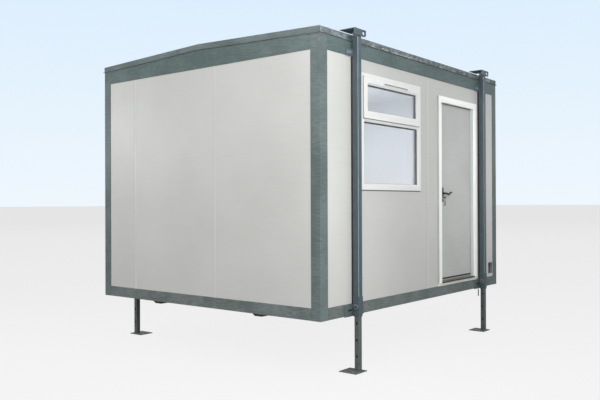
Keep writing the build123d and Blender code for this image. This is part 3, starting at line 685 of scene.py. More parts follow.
# Inside of the vent: dark grey mesh backing.
vent_mesh_finish = moulded_plastic("dark_grey_insect_mesh", "5c5f61", "6e7173", 0.8, grain_mm=2)
backing = bar(bmesh.new(), (VENT_LOW.x + 0.004, VENT_HIGH.y - 0.002, vent_mid - SLOT),
              (VENT_HIGH.x - 0.004, VENT_HIGH.y, vent_mid + SLOT), 0)
piece("trickle_vent_backing", backing, vent_mesh_finish, "cabin", "inlet_plastic")

# ---------------- glazing
# Each light has a sealed unit: two 4 mm sheets of float glass on a dark 16 mm spacer bar, set in
# black gasket. The spacer is drawn wider at the top and the right than at the foot: painted shade for the
# dark returns there.


def float_glass(name):
    """Clear soda-lime float glass: smooth, with the faint green of its iron."""
    made, tree, spot = new_finish(name)
    tint = two_tone(tree, spot, "fbfcfd", "fefeff", 3.0, 3.0)[1]
    return surfaced(made, tint, 0.0, more={"IOR": 1.5, "Transmission Weight": 1.0})


glass = float_glass("clear_float_glass")
# Warm-edge spacer and its butyl seal: dark grey, matt.
spacer_finish = moulded_plastic("dark_warm_edge_spacer", "54595c", "666b6e", 0.6)
# EPDM: black rubber with a dull bloom. The same black also paints the deep shade in the legs' gaps and under
# the door head.
black_epdm_and_shade = moulded_plastic("black_epdm_and_painted_shade", "1c1d1e", "2a2b2c", 0.7)
# (left, right, foot, top of the glass that shows, depth of its front)
LIGHTS = ((FRAME_LOW.x + WINDOW_FACE, FRAME_HIGH.x - WINDOW_FACE, FRAME_LOW.z + WINDOW_FACE, TRANSOM_LOW,
           glass_front),
          (SASH_LOW.x + SASH_FACE, SASH_HIGH.x - SASH_FACE, SASH_LOW.z + SASH_FACE, SASH_HIGH.z - SASH_FACE,
           SASH_Y + GLASS_RECESS))
SHEET = 0.004
COVERED = 0.007
# The spacer's extra width at the right and the top is painted shade.
SPACER_LEFT, SHADE_SPACER_RIGHT, SPACER_FOOT, SHADE_SPACER_TOP = 0.003, 0.014, 0.001, 0.010
GASKET = 0.002
panes, spacers, gaskets = bmesh.new(), bmesh.new(), bmesh.new()
for left, right, foot, top, front in LIGHTS:
    west, east, under, over = left - COVERED, right + COVERED, foot - COVERED, top + COVERED
    a, b = front + SHEET, front + GLASS_UNIT - SHEET
    for y in (front, b):
        bar(panes, (west, y, under), (east, y + SHEET, over), 0.0004, 1)
    bar(spacers, (west, a, under), (left + SPACER_LEFT, b, over), 0)
    bar(spacers, (right - SHADE_SPACER_RIGHT, a, under), (east, b, over), 0)
    bar(spacers, (left + SPACER_LEFT, a, under), (right - SHADE_SPACER_RIGHT, b, foot + SPACER_FOOT), 0)
    bar(spacers, (left + SPACER_LEFT, a, top - SHADE_SPACER_TOP), (right - SHADE_SPACER_RIGHT, b, over), 0)
    for y in (front - GASKET, front + GLASS_UNIT):
        mitred(gaskets, (left, foot), (right, top), evenly([(-GASKET, y), (-GASKET, y + GASKET),
                                                            (GASKET, y + GASKET), (GASKET, y)]))
piece("window_gaskets", gaskets, black_epdm_and_shade, "cabin", "inlet_plastic")
piece("glass_sheets", panes, glass, "cabin", "glazing", "window_glass")
piece("spacer_bars", spacers, spacer_finish, "cabin", "inlet_plastic")

# Painted shadow: a dark bead under the window frame, where the frame's shadow falls.
sill_shadow_bead = bar(bmesh.new(), (FRAME_LOW.x, -PANEL_Y - 0.005, FRAME_LOW.z - 0.008),
                (FRAME_HIGH.x, -PANEL_Y, FRAME_LOW.z), 0.001)
piece("window_sill_painted_shadow", sill_shadow_bead, shade_line_sealant, "cabin", "trim_steel")

# ---------------- door frame and threshold
# White uPVC jambs and head with a stop behind, mitred and welded, and a ribbed bronze-anodised
# aluminium threshold screwed down between the jambs.
DOOR_LOW, DOOR_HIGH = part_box("door_frame")
LEAF_LOW, LEAF_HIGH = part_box("door_leaf")
JAMB = 0.088
JAMB_FLAT = 0.062
HEAD = 0.066
STOP_LAP = 0.014
DOOR_FACE = DOOR_LOW.y
STOP_BACK = DOOR_FACE + 0.046
HEAD_Z = DOOR_HIGH.z - HEAD


def door_run(low_z, points, radii):
    """Section carried up one jamb, across the head and down the other; the head is shallower."""
    section = [(x, x * HEAD / JAMB, y) for x, y in eased(points, radii)]
    return mitred(bmesh.new(), (DOOR_LOW.x, low_z), (DOOR_HIGH.x, DOOR_HIGH.z), section, open_foot=True)


door_frame = door_run(DOOR_LOW.z,
                      [(0, LEAF_HIGH.y), (0, DOOR_FACE), (JAMB_FLAT, DOOR_FACE),
                       (JAMB_FLAT, DOOR_FACE + 0.003), (JAMB, DOOR_FACE + 0.005), (JAMB, STOP_BACK),
                       (JAMB - STOP_LAP, STOP_BACK), (JAMB - STOP_LAP, LEAF_HIGH.y)],
                      [0, 0.003, 0.0015, 0.001, 0.003, 0.0015, 0, 0])
# Foam-cored uPVC: a brighter, slightly warmer white than the window's.
door_upvc = moulded_plastic("foam_cored_bright_upvc", "f6f6f3", "fafaf8", 0.35)
piece("door_frame_upvc", door_frame, door_upvc, "cabin", "upvc", "door_frame")

SEAL_BACK = STOP_BACK + 0.004
door_seal = door_run(DOOR_LOW.z + 0.014, [(JAMB - 0.006, STOP_BACK), (JAMB - 0.006, SEAL_BACK),
                                          (JAMB - 0.001, SEAL_BACK), (JAMB - 0.001, STOP_BACK)], 0)
# Grey soft seal welded to the stop.
soft_seal = moulded_plastic("grey_soft_door_seal", "8f9496", "a1a6a8", 0.6)
piece("door_stop_gasket", door_seal, soft_seal, "cabin", "inlet_plastic")
# A pale grey strip over the reveal of each jamb is painted shade on the reveal. A grey-beige bead of mastic
# along the frame's outer edges also wraps the frame's side face, as painted shade there.
reveal_shade_grey = moulded_plastic("pale_grey_reveal_painted_shade", "c6cccc", "ced3d3", 0.5)
mastic_and_side_shade = gunned_sealant("grey_beige_mastic_and_painted_shade", "aeaea9", "bbbab5", 0.6)
SILL_LOW, SILL_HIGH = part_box("door_threshold")
reveal_shade_strips, edging = bmesh.new(), bmesh.new()
for edge, side in ((DOOR_LOW.x, 1), (DOOR_HIGH.x, -1)):
    inner = edge + side * JAMB
    bar(reveal_shade_strips, (inner, DOOR_FACE + 0.009, SILL_HIGH.z),
        (inner + side * 0.0015, STOP_BACK - 0.001, HEAD_Z - 0.001), 0)
    bar(edging, (edge - side * 0.0008, DOOR_FACE - 0.0004, DOOR_LOW.z + 0.001),
        (edge + side * 0.010, -PANEL_Y - 0.0002, DOOR_HIGH.z - 0.001), 0.0003, 1)
piece("door_reveal_painted_shade", reveal_shade_strips, reveal_shade_grey, "cabin", "inlet_plastic")
piece("door_frame_bead", edging, mastic_and_side_shade, "cabin", "inlet_plastic")
# Painted shade: the seal is black only under the head, where the head's shadow line falls; the jambs' seal
# is grey.
head_shade_seal = bar(bmesh.new(), (DOOR_LOW.x + JAMB, STOP_BACK - 0.004, HEAD_Z - 0.005),
                (DOOR_HIGH.x - JAMB, STOP_BACK, HEAD_Z), 0.001)
piece("door_head_seal_painted_shade", head_shade_seal, black_epdm_and_shade, "cabin", "inlet_plastic")


def anodised(name, dark, light, roughness):
    """Anodised aluminium: metal with fine draw lines along X from the extrusion die."""
    made, tree, spot = new_finish(name)
    drawn = add(tree, "Mapping", {"Vector": spot, "Scale": (4.0, 900.0, 900.0)}).outputs[0]
    lines, colour = two_tone(tree, drawn, dark, light, 1.0, 4.0)
    return surfaced(made, colour, roughness, lines, 0.4, 0.3, {"Metallic": 1.0})


# Bronze anodising on the threshold's nose: dark brown, drawn fine along its length.
bronze = anodised("bronze_anodised_aluminium", "3d3931", "514c42", 0.45)
FRONT, TREAD_TOP = SILL_LOW.y, SILL_HIGH.z
SILL_NOTCH = 0.040
nose = eased([(FRONT, SILL_LOW.z + 0.004), (FRONT + 0.008, SILL_LOW.z), (SILL_HIGH.y, SILL_LOW.z),
              (SILL_HIGH.y, TREAD_TOP - 0.001), (FRONT + 0.014, TREAD_TOP - 0.001),
              (FRONT + 0.010, TREAD_TOP), (FRONT, TREAD_TOP)], [0.001, 0, 0, 0, 0, 0.0005, 0.002])
sill = prism(bmesh.new(), nose, SILL_LOW.x, SILL_HIGH.x - SILL_NOTCH, ALONG_X)
bar(sill, (SILL_HIGH.x - SILL_NOTCH - 0.001, FRONT + 0.012, SILL_LOW.z),
    (SILL_HIGH.x, SILL_HIGH.y, TREAD_TOP - 0.001), 0)
piece("door_threshold_bronze", sill, bronze, "cabin", "threshold_alloy", "door_threshold")
# The tread behind the nose is ribbed and trodden pale: bare alloy under a film of dust.
tread_finish = moulded_plastic("dusty_trodden_aluminium", "6a675e", "8d897f", 0.6, cloud_mm=120)
RIBS = 9
RIB = 0.005
RIB_PITCH = 0.0065
FIRST_RIB = 0.0145
tread = bmesh.new()
for k in range(RIBS):
    y = FRONT + FIRST_RIB + k * RIB_PITCH
    bar(tread, (SILL_LOW.x + 0.001, y, TREAD_TOP - 0.004), (SILL_HIGH.x - 0.001, y + RIB, TREAD_TOP),
        0.0006, 1)
piece("door_threshold_tread", tread, tread_finish, "cabin", "threshold_alloy")
# Painted light: a pale coated strip covers the panel's face between the threshold and the bottom trim,
# lighter than the panels so the threshold's shadow on it does not show.
sill_light_paint = coated_steel("pale_sill_strip_painted_light", ("d6dad1", "dce0d7", "e2e6dd"), 0.4,
                               500, (90, 8), 0.3, 0.02)
sill_light_strip = bar(bmesh.new(), (DOOR_LOW.x + 0.002, -PANEL_Y - 0.0025, BOTTOM_TRIM_TOP + 0.001),
               (DOOR_HIGH.x - 0.002, -PANEL_Y, DOOR_LOW.z - 0.0005), 0.0006, 1)
piece("door_sill_painted_light", sill_light_strip, sill_light_paint, "cabin", "trim_steel")

# ---------------- door leaf
# A flush leaf: foam between smooth coated steel skins, with a bronze weather strip along the foot
# of its outer face and a soft sweep under it.
door_skin = coated_steel("smooth_coil_coated_door_skin", ("b2b4b1", "b7b9b6", "bcbebb"), 0.4,
                         700, (150, 12), 0.4, 0.05)
dress(door_skin, "door_leaf")
SWING_GAP = 0.003
leaf_left, leaf_right = DOOR_LOW.x + JAMB + SWING_GAP, DOOR_HIGH.x - JAMB - SWING_GAP
leaf_face, leaf_foot = LEAF_LOW.y, LEAF_LOW.z
proud = leaf_face - 0.004
strip_section = eased([(leaf_face, leaf_foot + 0.009), (proud, leaf_foot + 0.009),
                       (proud, leaf_foot + 0.022), (leaf_face, leaf_foot + 0.026)], [0, 0.001, 0.002, 0])
strip = prism(bmesh.new(), strip_section, leaf_left, leaf_right, ALONG_X)
piece("door_weather_strip", strip, bronze, "door", "threshold_alloy")
sweep = bar(bmesh.new(), (leaf_left, leaf_face + 0.003, leaf_foot - 0.0055),
            (leaf_right, leaf_face + 0.009, leaf_foot + 0.001), 0.001)
piece("door_foot_sweep", sweep, soft_seal, "door", "inlet_plastic")

# ---------------- lock, levers and keys
# Lever handles on long backplates, powder coated black over zinc castings, with a brass-cored
# cylinder below and the keys left hanging in it.


def powder_coat(name, dark, light, roughness, speckle_mm):
    """Baked powder coat: an orange-peel surface with a slight speckle."""
    made, tree, spot = new_finish(name)
    peel, colour = two_tone(tree, spot, dark, light, 1000 / speckle_mm, 2.0)
    return surfaced(made, colour, roughness, peel, 0.5, 0.1)


# Black powder coat over zinc: nearly black, half matt.
black_coat = powder_coat("black_powder_coated_zinc", "191a1a", "262727", 0.45, 1.2)
LOCK_LOW, LOCK_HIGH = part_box("door_lock")
SPINDLE_X = (LOCK_LOW.x + LOCK_HIGH.x) / 2
SPINDLE_Z = (LOCK_LOW.z + LOCK_HIGH.z) / 2 + 0.015
CYLINDER_Z = SPINDLE_Z - 0.048
PLATE = 0.008
SCREWS_FROM_SPINDLE = (0.052, -0.082)
FACES = ((-1, LEAF_LOW.y), (1, LEAF_HIGH.y))


def rectangle(low, high, radius, steps=4):
    """Rectangle between two opposite corners, with rounded corners."""
    return eased([low, (high[0], low[1]), high, (low[0], high[1])], radius, steps)


plate_outline = rectangle((LOCK_LOW.x, LOCK_LOW.z), (LOCK_HIGH.x, LOCK_HIGH.z), 0.008, 6)
plates = bmesh.new()
for out, face in FACES:
    front = face + out * PLATE
    merge(plates, rimmed(prism(bmesh.new(), plate_outline, face, front, ALONG_Y), front, 0.002))
    for rise in SCREWS_FROM_SPINDLE:
        turned(plates, [(0.0045, 0), (0.0045, 0.0008), (0.003, 0.0016), (0, 0.0016)],
               tilt_to((0, out, 0), (SPINDLE_X, front, SPINDLE_Z + rise)), 16)
piece("lock_backplates", plates, black_coat, "door", "lock_black")
# Nickel-plated lock cylinder: pale yellowish metal.
nickel = plated_steel("nickel_plated_brass", "8f8a7d", "b5b0a2", 0.32)
cylinder = bmesh.new()
for out, face in FACES:
    turned(cylinder, [(0.0085, -0.010), (0.0085, PLATE + 0.0045), (0.0075, PLATE + 0.005),
                      (0, PLATE + 0.005)], tilt_to((0, out, 0), (SPINDLE_X, face, CYLINDER_Z)), 28)
    bar(cylinder, (SPINDLE_X - 0.005, face - 0.010, CYLINDER_Z - 0.019),
        (SPINDLE_X + 0.005, face + (0.0106 if out > 0 else 0.010), CYLINDER_Z), 0.002)
piece("lock_cylinder", cylinder, nickel, "door", "hinge_steel", "door_lock")


def tube_along(mesh, path, radii, sides, closed=False, up=Vector((0, 0, 1)), place=Matrix()):
    """Round bar whose radius may change from point to point."""
    part = bmesh.new()
    path = [Vector(p) for p in path]
    count = len(path)
    radii = radii if isinstance(radii, (list, tuple)) else [radii] * count
    rings = []
    for i, point in enumerate(path):
        after = path[(i + 1) % count] if closed or i + 1 < count else point
        before = path[i - 1] if closed or i else point
        run = (after - before).normalized()
        side = run.cross(up).normalized()
        over = side.cross(run)
        rings.append([part.verts.new(point + side * x + over * y) for x, y in circle(radii[i], sides)])
    for i in range(count if closed else count - 1):
        low, high = rings[i], rings[(i + 1) % count]
        for k in range(sides):
            part.faces.new((low[k - 1], low[k], high[k], high[k - 1]))
    if not closed:
        part.faces.new(rings[0])
        part.faces.new(rings[-1])
    return merge(mesh, part, place)


# The grip's waves: (distance along X and Z from the spindle, radius) from the neck to the tip.
GRIP = ((0.0, 0.0, 0.0062), (0.012, -0.0025, 0.0105), (0.026, -0.0075, 0.0114), (0.040, -0.0098, 0.0118),
        (0.056, -0.0098, 0.0116), (0.070, -0.0075, 0.0110), (0.080, -0.0015, 0.0098),
        (0.088, 0.0045, 0.0090), (0.098, 0.0078, 0.0084), (0.112, 0.0090, 0.0082),
        (0.124, 0.0095, 0.0084), (0.132, 0.0098, 0.0055))
REACH = 0.046
ROSE = ((0.0128, 0), (0.0130, 0.002), (0.0130, 0.014), (0.0115, 0.0165), (0.0095, 0.020), (0.0090, 0.034),
        (0.0090, REACH), (0.0080, 0.0505), (0.005, 0.0535), (0, 0.054))
levers = bmesh.new()
for out, leaf in FACES:
    face = leaf + out * PLATE
    turned(levers, ROSE, tilt_to((0, out, 0), (SPINDLE_X, face + out * 0.001, SPINDLE_Z)), 28)
    tube_along(levers, [(SPINDLE_X + x, face + out * REACH, SPINDLE_Z + z) for x, z, _ in GRIP],
               [radius for _, _, radius in GRIP], 20)
turned(levers, [(0.0055, LEAF_LOW.y - PLATE - 0.001), (0.0055, LEAF_HIGH.y + PLATE + 0.001)],
       tilt_to((0, 1, 0), (SPINDLE_X, 0, SPINDLE_Z)), 4)
piece("lever_handles", levers, black_coat, "door_handle", "lock_black", "door_levers")

# Keys of plain steel, tarnished dark: one in the cylinder, three hanging from its ring.
key_steel = plated_steel("tarnished_key_steel", "55554f", "7c7b74", 0.45)
key_spot = Vector((SPINDLE_X, LEAF_LOW.y - PLATE - 0.005, CYLINDER_Z))
keys = bar(bmesh.new(), key_spot + Vector((-0.001, -0.010, -0.0035)),
           key_spot + Vector((0.001, 0.004, 0.0035)), 0.0004, 1)
turned(keys, [(0.011, -0.001), (0.0115, -0.0006), (0.0115, 0.0006), (0.011, 0.001)],
       tilt_to((1, 0, 0), key_spot + Vector((0, -0.020, 0))), 24)
ring_centre = key_spot + Vector((0.0, -0.021, -0.022))
ring_path = [ring_centre + Vector((0.014 * sin(a), 0.004 * cos(a), 0.016 * cos(a)))
             for a in (2 * pi * k / 28 for k in range(28))]
tube_along(keys, ring_path, 0.0011, 8, closed=True, up=Vector((0.3, 1, 0)))
for tilt in (-0.18, 0.12, 0.34):
    hung = Matrix.Translation(ring_centre + Vector((0.012 * tilt, -0.002, -0.015))) \
        @ Matrix.Rotation(tilt, 4, "Y")
    bar(keys, (-0.011, -0.0009, -0.023), (0.011, 0.0009, 0), 0.0006, 1, hung)
    bar(keys, (-0.004, -0.0009, -0.054), (0.004, 0.0009, -0.022), 0.0004, 1, hung)
piece("keys_on_ring", keys, key_steel, "door", "hinge_steel")

# Zinc-plated butt hinges on the room side.
dress(zinc, "door_hinges_fixed", "door_hinges_moving")

# ---------------- power inlet
# A flush mains inlet low on the front wall: a dark moulded plate let into the panel, with a
# sprung flap of dull red plastic over its pins, and a dab of sealant under it.
dark_mould = moulded_plastic("dark_grey_moulded_abs", "414143", "505052", 0.5)
INLET_LOW, INLET_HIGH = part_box("power_inlet")
INLET_PLATE = 0.010
INLET_COVER = INLET_HIGH.y - INLET_LOW.y - INLET_PLATE
FLAP_HALF = 0.034
INLET_SCREW_X, INLET_SCREW_Z = 0.0385, 0.0585
mid = (INLET_LOW + INLET_HIGH) / 2
mid.y = INLET_HIGH.y - INLET_PLATE
at_mid = Matrix.Translation(mid)
half_x, half_z = (INLET_HIGH.x - INLET_LOW.x) / 2, (INLET_HIGH.z - INLET_LOW.z) / 2
inlet = faced(bmesh.new(), rectangle((-half_x, -half_z), (half_x, half_z), 0.004), INLET_PLATE, 0,
              0.002, at_mid)
faced(inlet, rectangle((-FLAP_HALF, 0.012), (FLAP_HALF, 0.054), 0.005), 0.001, -INLET_COVER, 0.002,
      at_mid)
for x in (-INLET_SCREW_X, INLET_SCREW_X):
    for z in (-INLET_SCREW_Z, INLET_SCREW_Z):
        turned(inlet, [(0.003, 0), (0.003, 0.001), (0.002, 0.0018), (0, 0.0018)],
               tilt_to((0, -1, 0), mid + Vector((x, 0, z))), 16)
piece("inlet_plate", inlet, dark_mould, "cabin", "inlet_plastic", "power_inlet")
# The flap: sun-faded red ABS.
red_mould = moulded_plastic("faded_red_moulded_abs", "665557", "756466", 0.5)
flap = faced(bmesh.new(), rectangle((-FLAP_HALF, -0.056), (FLAP_HALF, 0.010), 0.005), 0.001,
             -INLET_COVER * 0.85, 0.0015, at_mid)
bar(flap, (-0.012, -INLET_COVER, -0.054), (0.012, -INLET_COVER * 0.8, -0.048), 0.0008, 2, at_mid)
piece("inlet_flap", flap, red_mould, "cabin", "inlet_plastic")
# Fresh sealant: a clean white dab, still glossy.
fresh_sealant = gunned_sealant("fresh_white_sealant", "c2c6c6", "dcdfdf", 0.5)
inlet_dab = bmesh.new()
bmesh.ops.create_icosphere(inlet_dab, subdivisions=3, radius=1.0,
                           matrix=Matrix.Translation((mid.x - 0.004, -PANEL_Y, INLET_LOW.z - 0.010))
                           @ Matrix.Diagonal((0.020, 0.003, 0.008, 1)))
piece("inlet_sealant_dab", inlet_dab, fresh_sealant, "cabin", "trim_steel")

# ---------------- legs
# Square steel tube telescopes in square steel tube, locked by a pin through a round boss on a
# welded sleeve. A plate head with a lifting eye caps each leg. All of it is sprayed blue-grey
# after welding, thinner and duller on the inner tube, which rubs as it slides.


def sprayed_enamel(name, dark, usual, light, roughness, wear, scuff_mm):
    """Sprayed enamel on steel: overspray mottle, scuffs, and bare grey rub marks by wear."""
    made, tree, spot = new_finish(name)
    mottle = add(tree, "TexNoise", {"Vector": spot, "Scale": 1000 / scuff_mm, "Detail": 5.0,
                                    "Roughness": 0.6}).outputs["Fac"]
    share = add(tree, "MapRange", {"Value": mottle, "From Min": 0.3, "From Max": 0.7})
    tone = add(tree, "Mix", {0: share.outputs[0], 6: linear(dark), 7: linear(usual)}, data_type="RGBA")
    drag = add(tree, "Mapping", {"Vector": spot, "Scale": (90.0, 90.0, 7.0)}).outputs[0]
    marks = add(tree, "TexNoise", {"Vector": drag, "Scale": 1.0, "Detail": 6.0,
                                   "Roughness": 0.7}).outputs["Fac"]
    rubbed = add(tree, "MapRange", {"Value": marks, "From Min": 0.62 - wear, "From Max": 0.80 - wear,
                                    "To Max": 0.75})
    colour = add(tree, "Mix", {0: rubbed.outputs[0], 6: tone.outputs[2], 7: linear(light)},
                 data_type="RGBA")
    gloss = add(tree, "MapRange", {"Value": marks, "To Min": roughness + 0.1, "To Max": roughness - 0.1})
    return surfaced(made, colour.outputs[2], gloss.outputs[0], mottle, 0.5, 0.4,
                    {"Specular IOR Level": 0.4})


def sleeve(mesh, outer, inner, start, end, outer_end=None):
    """Hollow section between two outlines with as many points each; it may taper."""
    part = bmesh.new()
    rings = []
    for outline, height in ((outer, start), (outer_end or outer, end), (inner, end), (inner, start)):
        rings.append([part.verts.new((p[0], p[1], height)) for p in outline])
    for i in range(4):
        low, high = rings[i - 1], rings[i]
        for k in range(len(low)):
            part.faces.new((low[k - 1], low[k], high[k], high[k - 1]))
    return merge(mesh, part)


def square(size, radius):
    """Square outline with rounded corners, about its centre."""
    return rectangle((-size / 2, -size / 2), (size / 2, size / 2), radius, 5)


def drilled(body, drills):
    """The body's mesh with holes where the drills are."""
    blanks = []
    for mesh in (body, drills):
        bmesh.ops.recalc_face_normals(mesh, faces=mesh.faces)
        blanks.append(set_down("blank", mesh_data("blank", mesh)))
    cut = blanks[0].modifiers.new("cut", "BOOLEAN")
    cut.object = blanks[1]
    cut.operation = "DIFFERENCE"
    cut.solver = "EXACT"
    shape = blanks[0].evaluated_get(bpy.context.evaluated_depsgraph_get())
    holed = bmesh.new()
    holed.from_mesh(shape.to_mesh())
    shape.to_mesh_clear()
    for blank in blanks:
        bpy.data.objects.remove(blank)
    return holed


def weld(mesh, outline, height, radius, place=Matrix(), seed=1):
    """Rippled fillet weld that follows an outline at a height."""
    draw = random.Random(seed)
    path, radii = [], []
    for i, corner in enumerate(outline):
        a, b = Vector(corner), Vector(outline[(i + 1) % len(outline)])
        steps = max(1, int((b - a).length / 0.004))
        for k in range(steps):
            path.append((*a.lerp(b, k / steps), height))
            radii.append(radius * draw.uniform(0.85, 1.15))
    return tube_along(mesh, path, radii, 8, closed=True, place=place)


OUTER_TUBE = 0.060
TUBE_BEND = 0.0065
TUBE_WALL = 0.004
INNER_TUBE = 0.0504
TUBE_LENGTH = 1.9
SLEEVE = 0.069
SLEEVE_TOP = BASE + 0.174
TAPER_TOP = BASE + 0.028
SLEEVE_FOOT = BASE - 0.010
PIN_Z = BASE + 0.082
PIN_PITCH = 0.150
HOLE = 0.011
BOSS_RADIUS = 0.024
BOSS = 0.010
HEAD_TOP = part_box("outer_leg_front_left")[1].z
HEAD_PLATE = 0.008
HEAD_UNDER = HEAD_TOP - HEAD_PLATE
HEAD_FOOT = HEAD_TOP - 0.062
HEAD_HALF = 0.093
HEAD_DEPTH = 0.155
EYE = 0.020
EYE_X = 0.054
EYE_Z = HEAD_TOP - 0.029
FOOT = 0.008
FOOT_MID = (-0.030, 0.038)
FOOT_HALF = (0.089, 0.095)


def outer_tube():
    """Outer tube with its sleeve and head, and the boss, about the leg's own centre line."""
    bore = square(OUTER_TUBE - 2 * TUBE_WALL, 0.003)
    rim = square(SLEEVE, 0.008)
    tube = sleeve(bmesh.new(), square(OUTER_TUBE, TUBE_BEND), bore, SLEEVE_TOP - 0.004, HEAD_UNDER)
    lower = sleeve(bmesh.new(), rim, bore, TAPER_TOP, SLEEVE_TOP)
    boss = turned(bmesh.new(), [(BOSS_RADIUS, 0), (BOSS_RADIUS, BOSS - 0.002), (BOSS_RADIUS - 0.002, BOSS),
                                (0, BOSS)], tilt_to((-1, 0, 0), (0.001 - SLEEVE / 2, 0, PIN_Z)), 36)
    ring = bmesh.new()
    for body, whole in ((lower, tube), (boss, ring)):
        drill = turned(bmesh.new(), [(HOLE, -0.07), (HOLE, 0.07)], tilt_to((1, 0, 0), (0, 0, PIN_Z)), 24)
        merge(whole, drilled(body, drill))
    sleeve(tube, square(0.057, 0.004), bore, SLEEVE_FOOT, TAPER_TOP, outer_end=rim)
    weld(tube, square(OUTER_TUBE + 0.003, 0.007), SLEEVE_TOP, 0.0035)
    weld(tube, square(OUTER_TUBE + 0.002, 0.007), HEAD_UNDER, 0.003, seed=3)
    weld(tube, circle(BOSS_RADIUS, 30), 0, 0.003, tilt_to((-1, 0, 0), (-SLEEVE / 2, 0, PIN_Z)), seed=5)
    front = -OUTER_TUBE / 2
    bar(tube, (-HEAD_HALF, front, HEAD_UNDER), (HEAD_HALF, front + HEAD_DEPTH, HEAD_TOP), 0.0015)
    # The head's face: a small cut at one lower corner, a larger one at the other.
    small, large = 0.010, 0.016
    shape = eased([(-HEAD_HALF, HEAD_TOP), (-HEAD_HALF, HEAD_FOOT + small), (-HEAD_HALF + small, HEAD_FOOT),
                   (HEAD_HALF - large, HEAD_FOOT), (HEAD_HALF, HEAD_FOOT + large), (HEAD_HALF, HEAD_TOP)],
                  [0.001, 0.003, 0.003, 0.008, 0.008, 0.001])
    face = prism(bmesh.new(), shape, front - HEAD_PLATE, front, ALONG_Y)
    drill = turned(bmesh.new(), [(EYE, -0.02), (EYE, 0.02)],
                   tilt_to((0, 1, 0), (EYE_X, front - HEAD_PLATE / 2, EYE_Z)), 40)
    return merge(tube, drilled(face, drill)), ring


def highlight_edge_skins():
    """Painted highlight: skins over the outer tube's four rounded corners, a fifth of a millimetre proud."""
    skins = bmesh.new()
    centre = OUTER_TUBE / 2 - TUBE_BEND
    turns = [radians(angle) for angle in (22, 34, 45, 56, 68)]
    arcs = ((TUBE_BEND + 0.0002, turns), (TUBE_BEND - 0.0005, turns[::-1]))
    outline = [(centre + radius * cos(t), centre + radius * sin(t)) for radius, arc in arcs for t in arc]
    for quarter in range(4):
        prism(skins, outline, SLEEVE_TOP + 0.004, HEAD_FOOT - 0.004, to_side(quarter))
    return skins


def inner_tube():
    """Inner tube with its pin holes, about the leg's own centre line."""
    bore = square(INNER_TUBE - 2 * TUBE_WALL, 0.002)
    tube = sleeve(bmesh.new(), square(INNER_TUBE, 0.0055), bore, FOOT, TUBE_LENGTH)
    drills = bmesh.new()
    z = PIN_Z
    while z - PIN_PITCH > FOOT + HOLE:
        z -= PIN_PITCH
    while z < TUBE_LENGTH - 2 * HOLE:
        turned(drills, [(HOLE, -0.04), (HOLE, 0.04)], tilt_to((1, 0, 0), (0, 0, z)), 24)
        z += PIN_PITCH
    # A small drilled stop hole in the outward face.
    turned(drills, [(0.004, -0.04), (0.004, 0.0)], tilt_to((0, 1, 0), (0.006, 0, BASE - 0.066)), 16)
    return weld(drilled(tube, drills), square(INNER_TUBE + 0.003, 0.007), FOOT + 0.001, 0.0035, seed=9)


# Outer tubes and heads: blue-grey with a low sheen. Inner tubes: greyer, dull.
leg_enamel = sprayed_enamel("blue_grey_sprayed_enamel", "444f54", "4d5a60", "626f78", 0.32, 0.0, 60)
inner_enamel = sprayed_enamel("worn_grey_sprayed_enamel", "4c5151", "5a6060", "747979", 0.5, 0.05, 35)
# Foot plates: the enamel is scuffed to a dusty yellowish grey by the ground.
foot_enamel = sprayed_enamel("dusty_scuffed_foot_enamel", "64655f", "6e6f69", "82827b", 0.6, 0.1, 25)
outer_mesh, ring_mesh = outer_tube()
inner_mesh = inner_tube()
highlight_mesh = highlight_edge_skins()
foot_mesh = bar(bmesh.new(), (FOOT_MID[0] - FOOT_HALF[0], FOOT_MID[1] - FOOT_HALF[1], 0),
                (FOOT_MID[0] + FOOT_HALF[0], FOOT_MID[1] + FOOT_HALF[1], FOOT), 0.0012)
boss_rings, highlight_skins = bmesh.new(), bmesh.new()
LEGS = {}
for corner in ("front_left", "front_right", "rear_left", "rear_right"):
    low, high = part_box(f"outer_leg_{corner}")
    turn = 0 if corner.startswith("front") else pi
    y = low.y + OUTER_TUBE / 2 + HEAD_PLATE if turn == 0 else high.y - OUTER_TUBE / 2 - HEAD_PLATE
    place = Matrix.Translation(((low.x + high.x) / 2, y, 0)) @ Matrix.Rotation(turn, 4, "Z")
    LEGS[corner] = place
    piece(f"outer_tube_{corner}", merge(bmesh.new(), outer_mesh.copy(), place), leg_enamel, "cabin",
          "leg_paint", f"outer_leg_{corner}")
    piece(f"inner_tube_{corner}", merge(bmesh.new(), inner_mesh.copy(), place), inner_enamel,
          f"leg_{corner}", "leg_paint", f"inner_leg_{corner}")
    merge(boss_rings, ring_mesh.copy(), place)
    merge(highlight_skins, highlight_mesh.copy(), place)
    piece(f"foot_plate_{corner}", merge(bmesh.new(), foot_mesh.copy(), place), foot_enamel,
          f"leg_{corner}", "leg_paint")

# The bosses are knocked bare to a pale grey. The tubes' rounded corners carry a paler enamel as a painted
# highlight.
knocked_enamel = sprayed_enamel("knocked_boss_enamel", "565d60", "6b7174", "868b8c", 0.45, 0.15, 14)
piece("leg_boss_rings", boss_rings, knocked_enamel, "cabin", "leg_paint")
highlight_enamel = sprayed_enamel("painted_highlight_edge_enamel", "6f8089", "83949e", "9aa9b2", 0.3, 0.1, 90)
piece("leg_edge_painted_highlights", highlight_skins, highlight_enamel, "cabin", "leg_paint")

# Bare turned steel pin, gone dark with grease.
pin_steel = plated_steel("greased_bright_steel", "3c3e3f", "5a5c5c", 0.45)
pins = bmesh.new()
for place in LEGS.values():
    turned(pins, [(0.009, 0), (0.0098, 0.0015), (0.0098, 0.017)],
           place @ tilt_to((1, 0, 0), (-SLEEVE / 2 - BOSS + 0.003, 0, PIN_Z)), 24)
piece("locking_pins", pins, pin_steel, "cabin", "hinge_steel", "leg_pins")

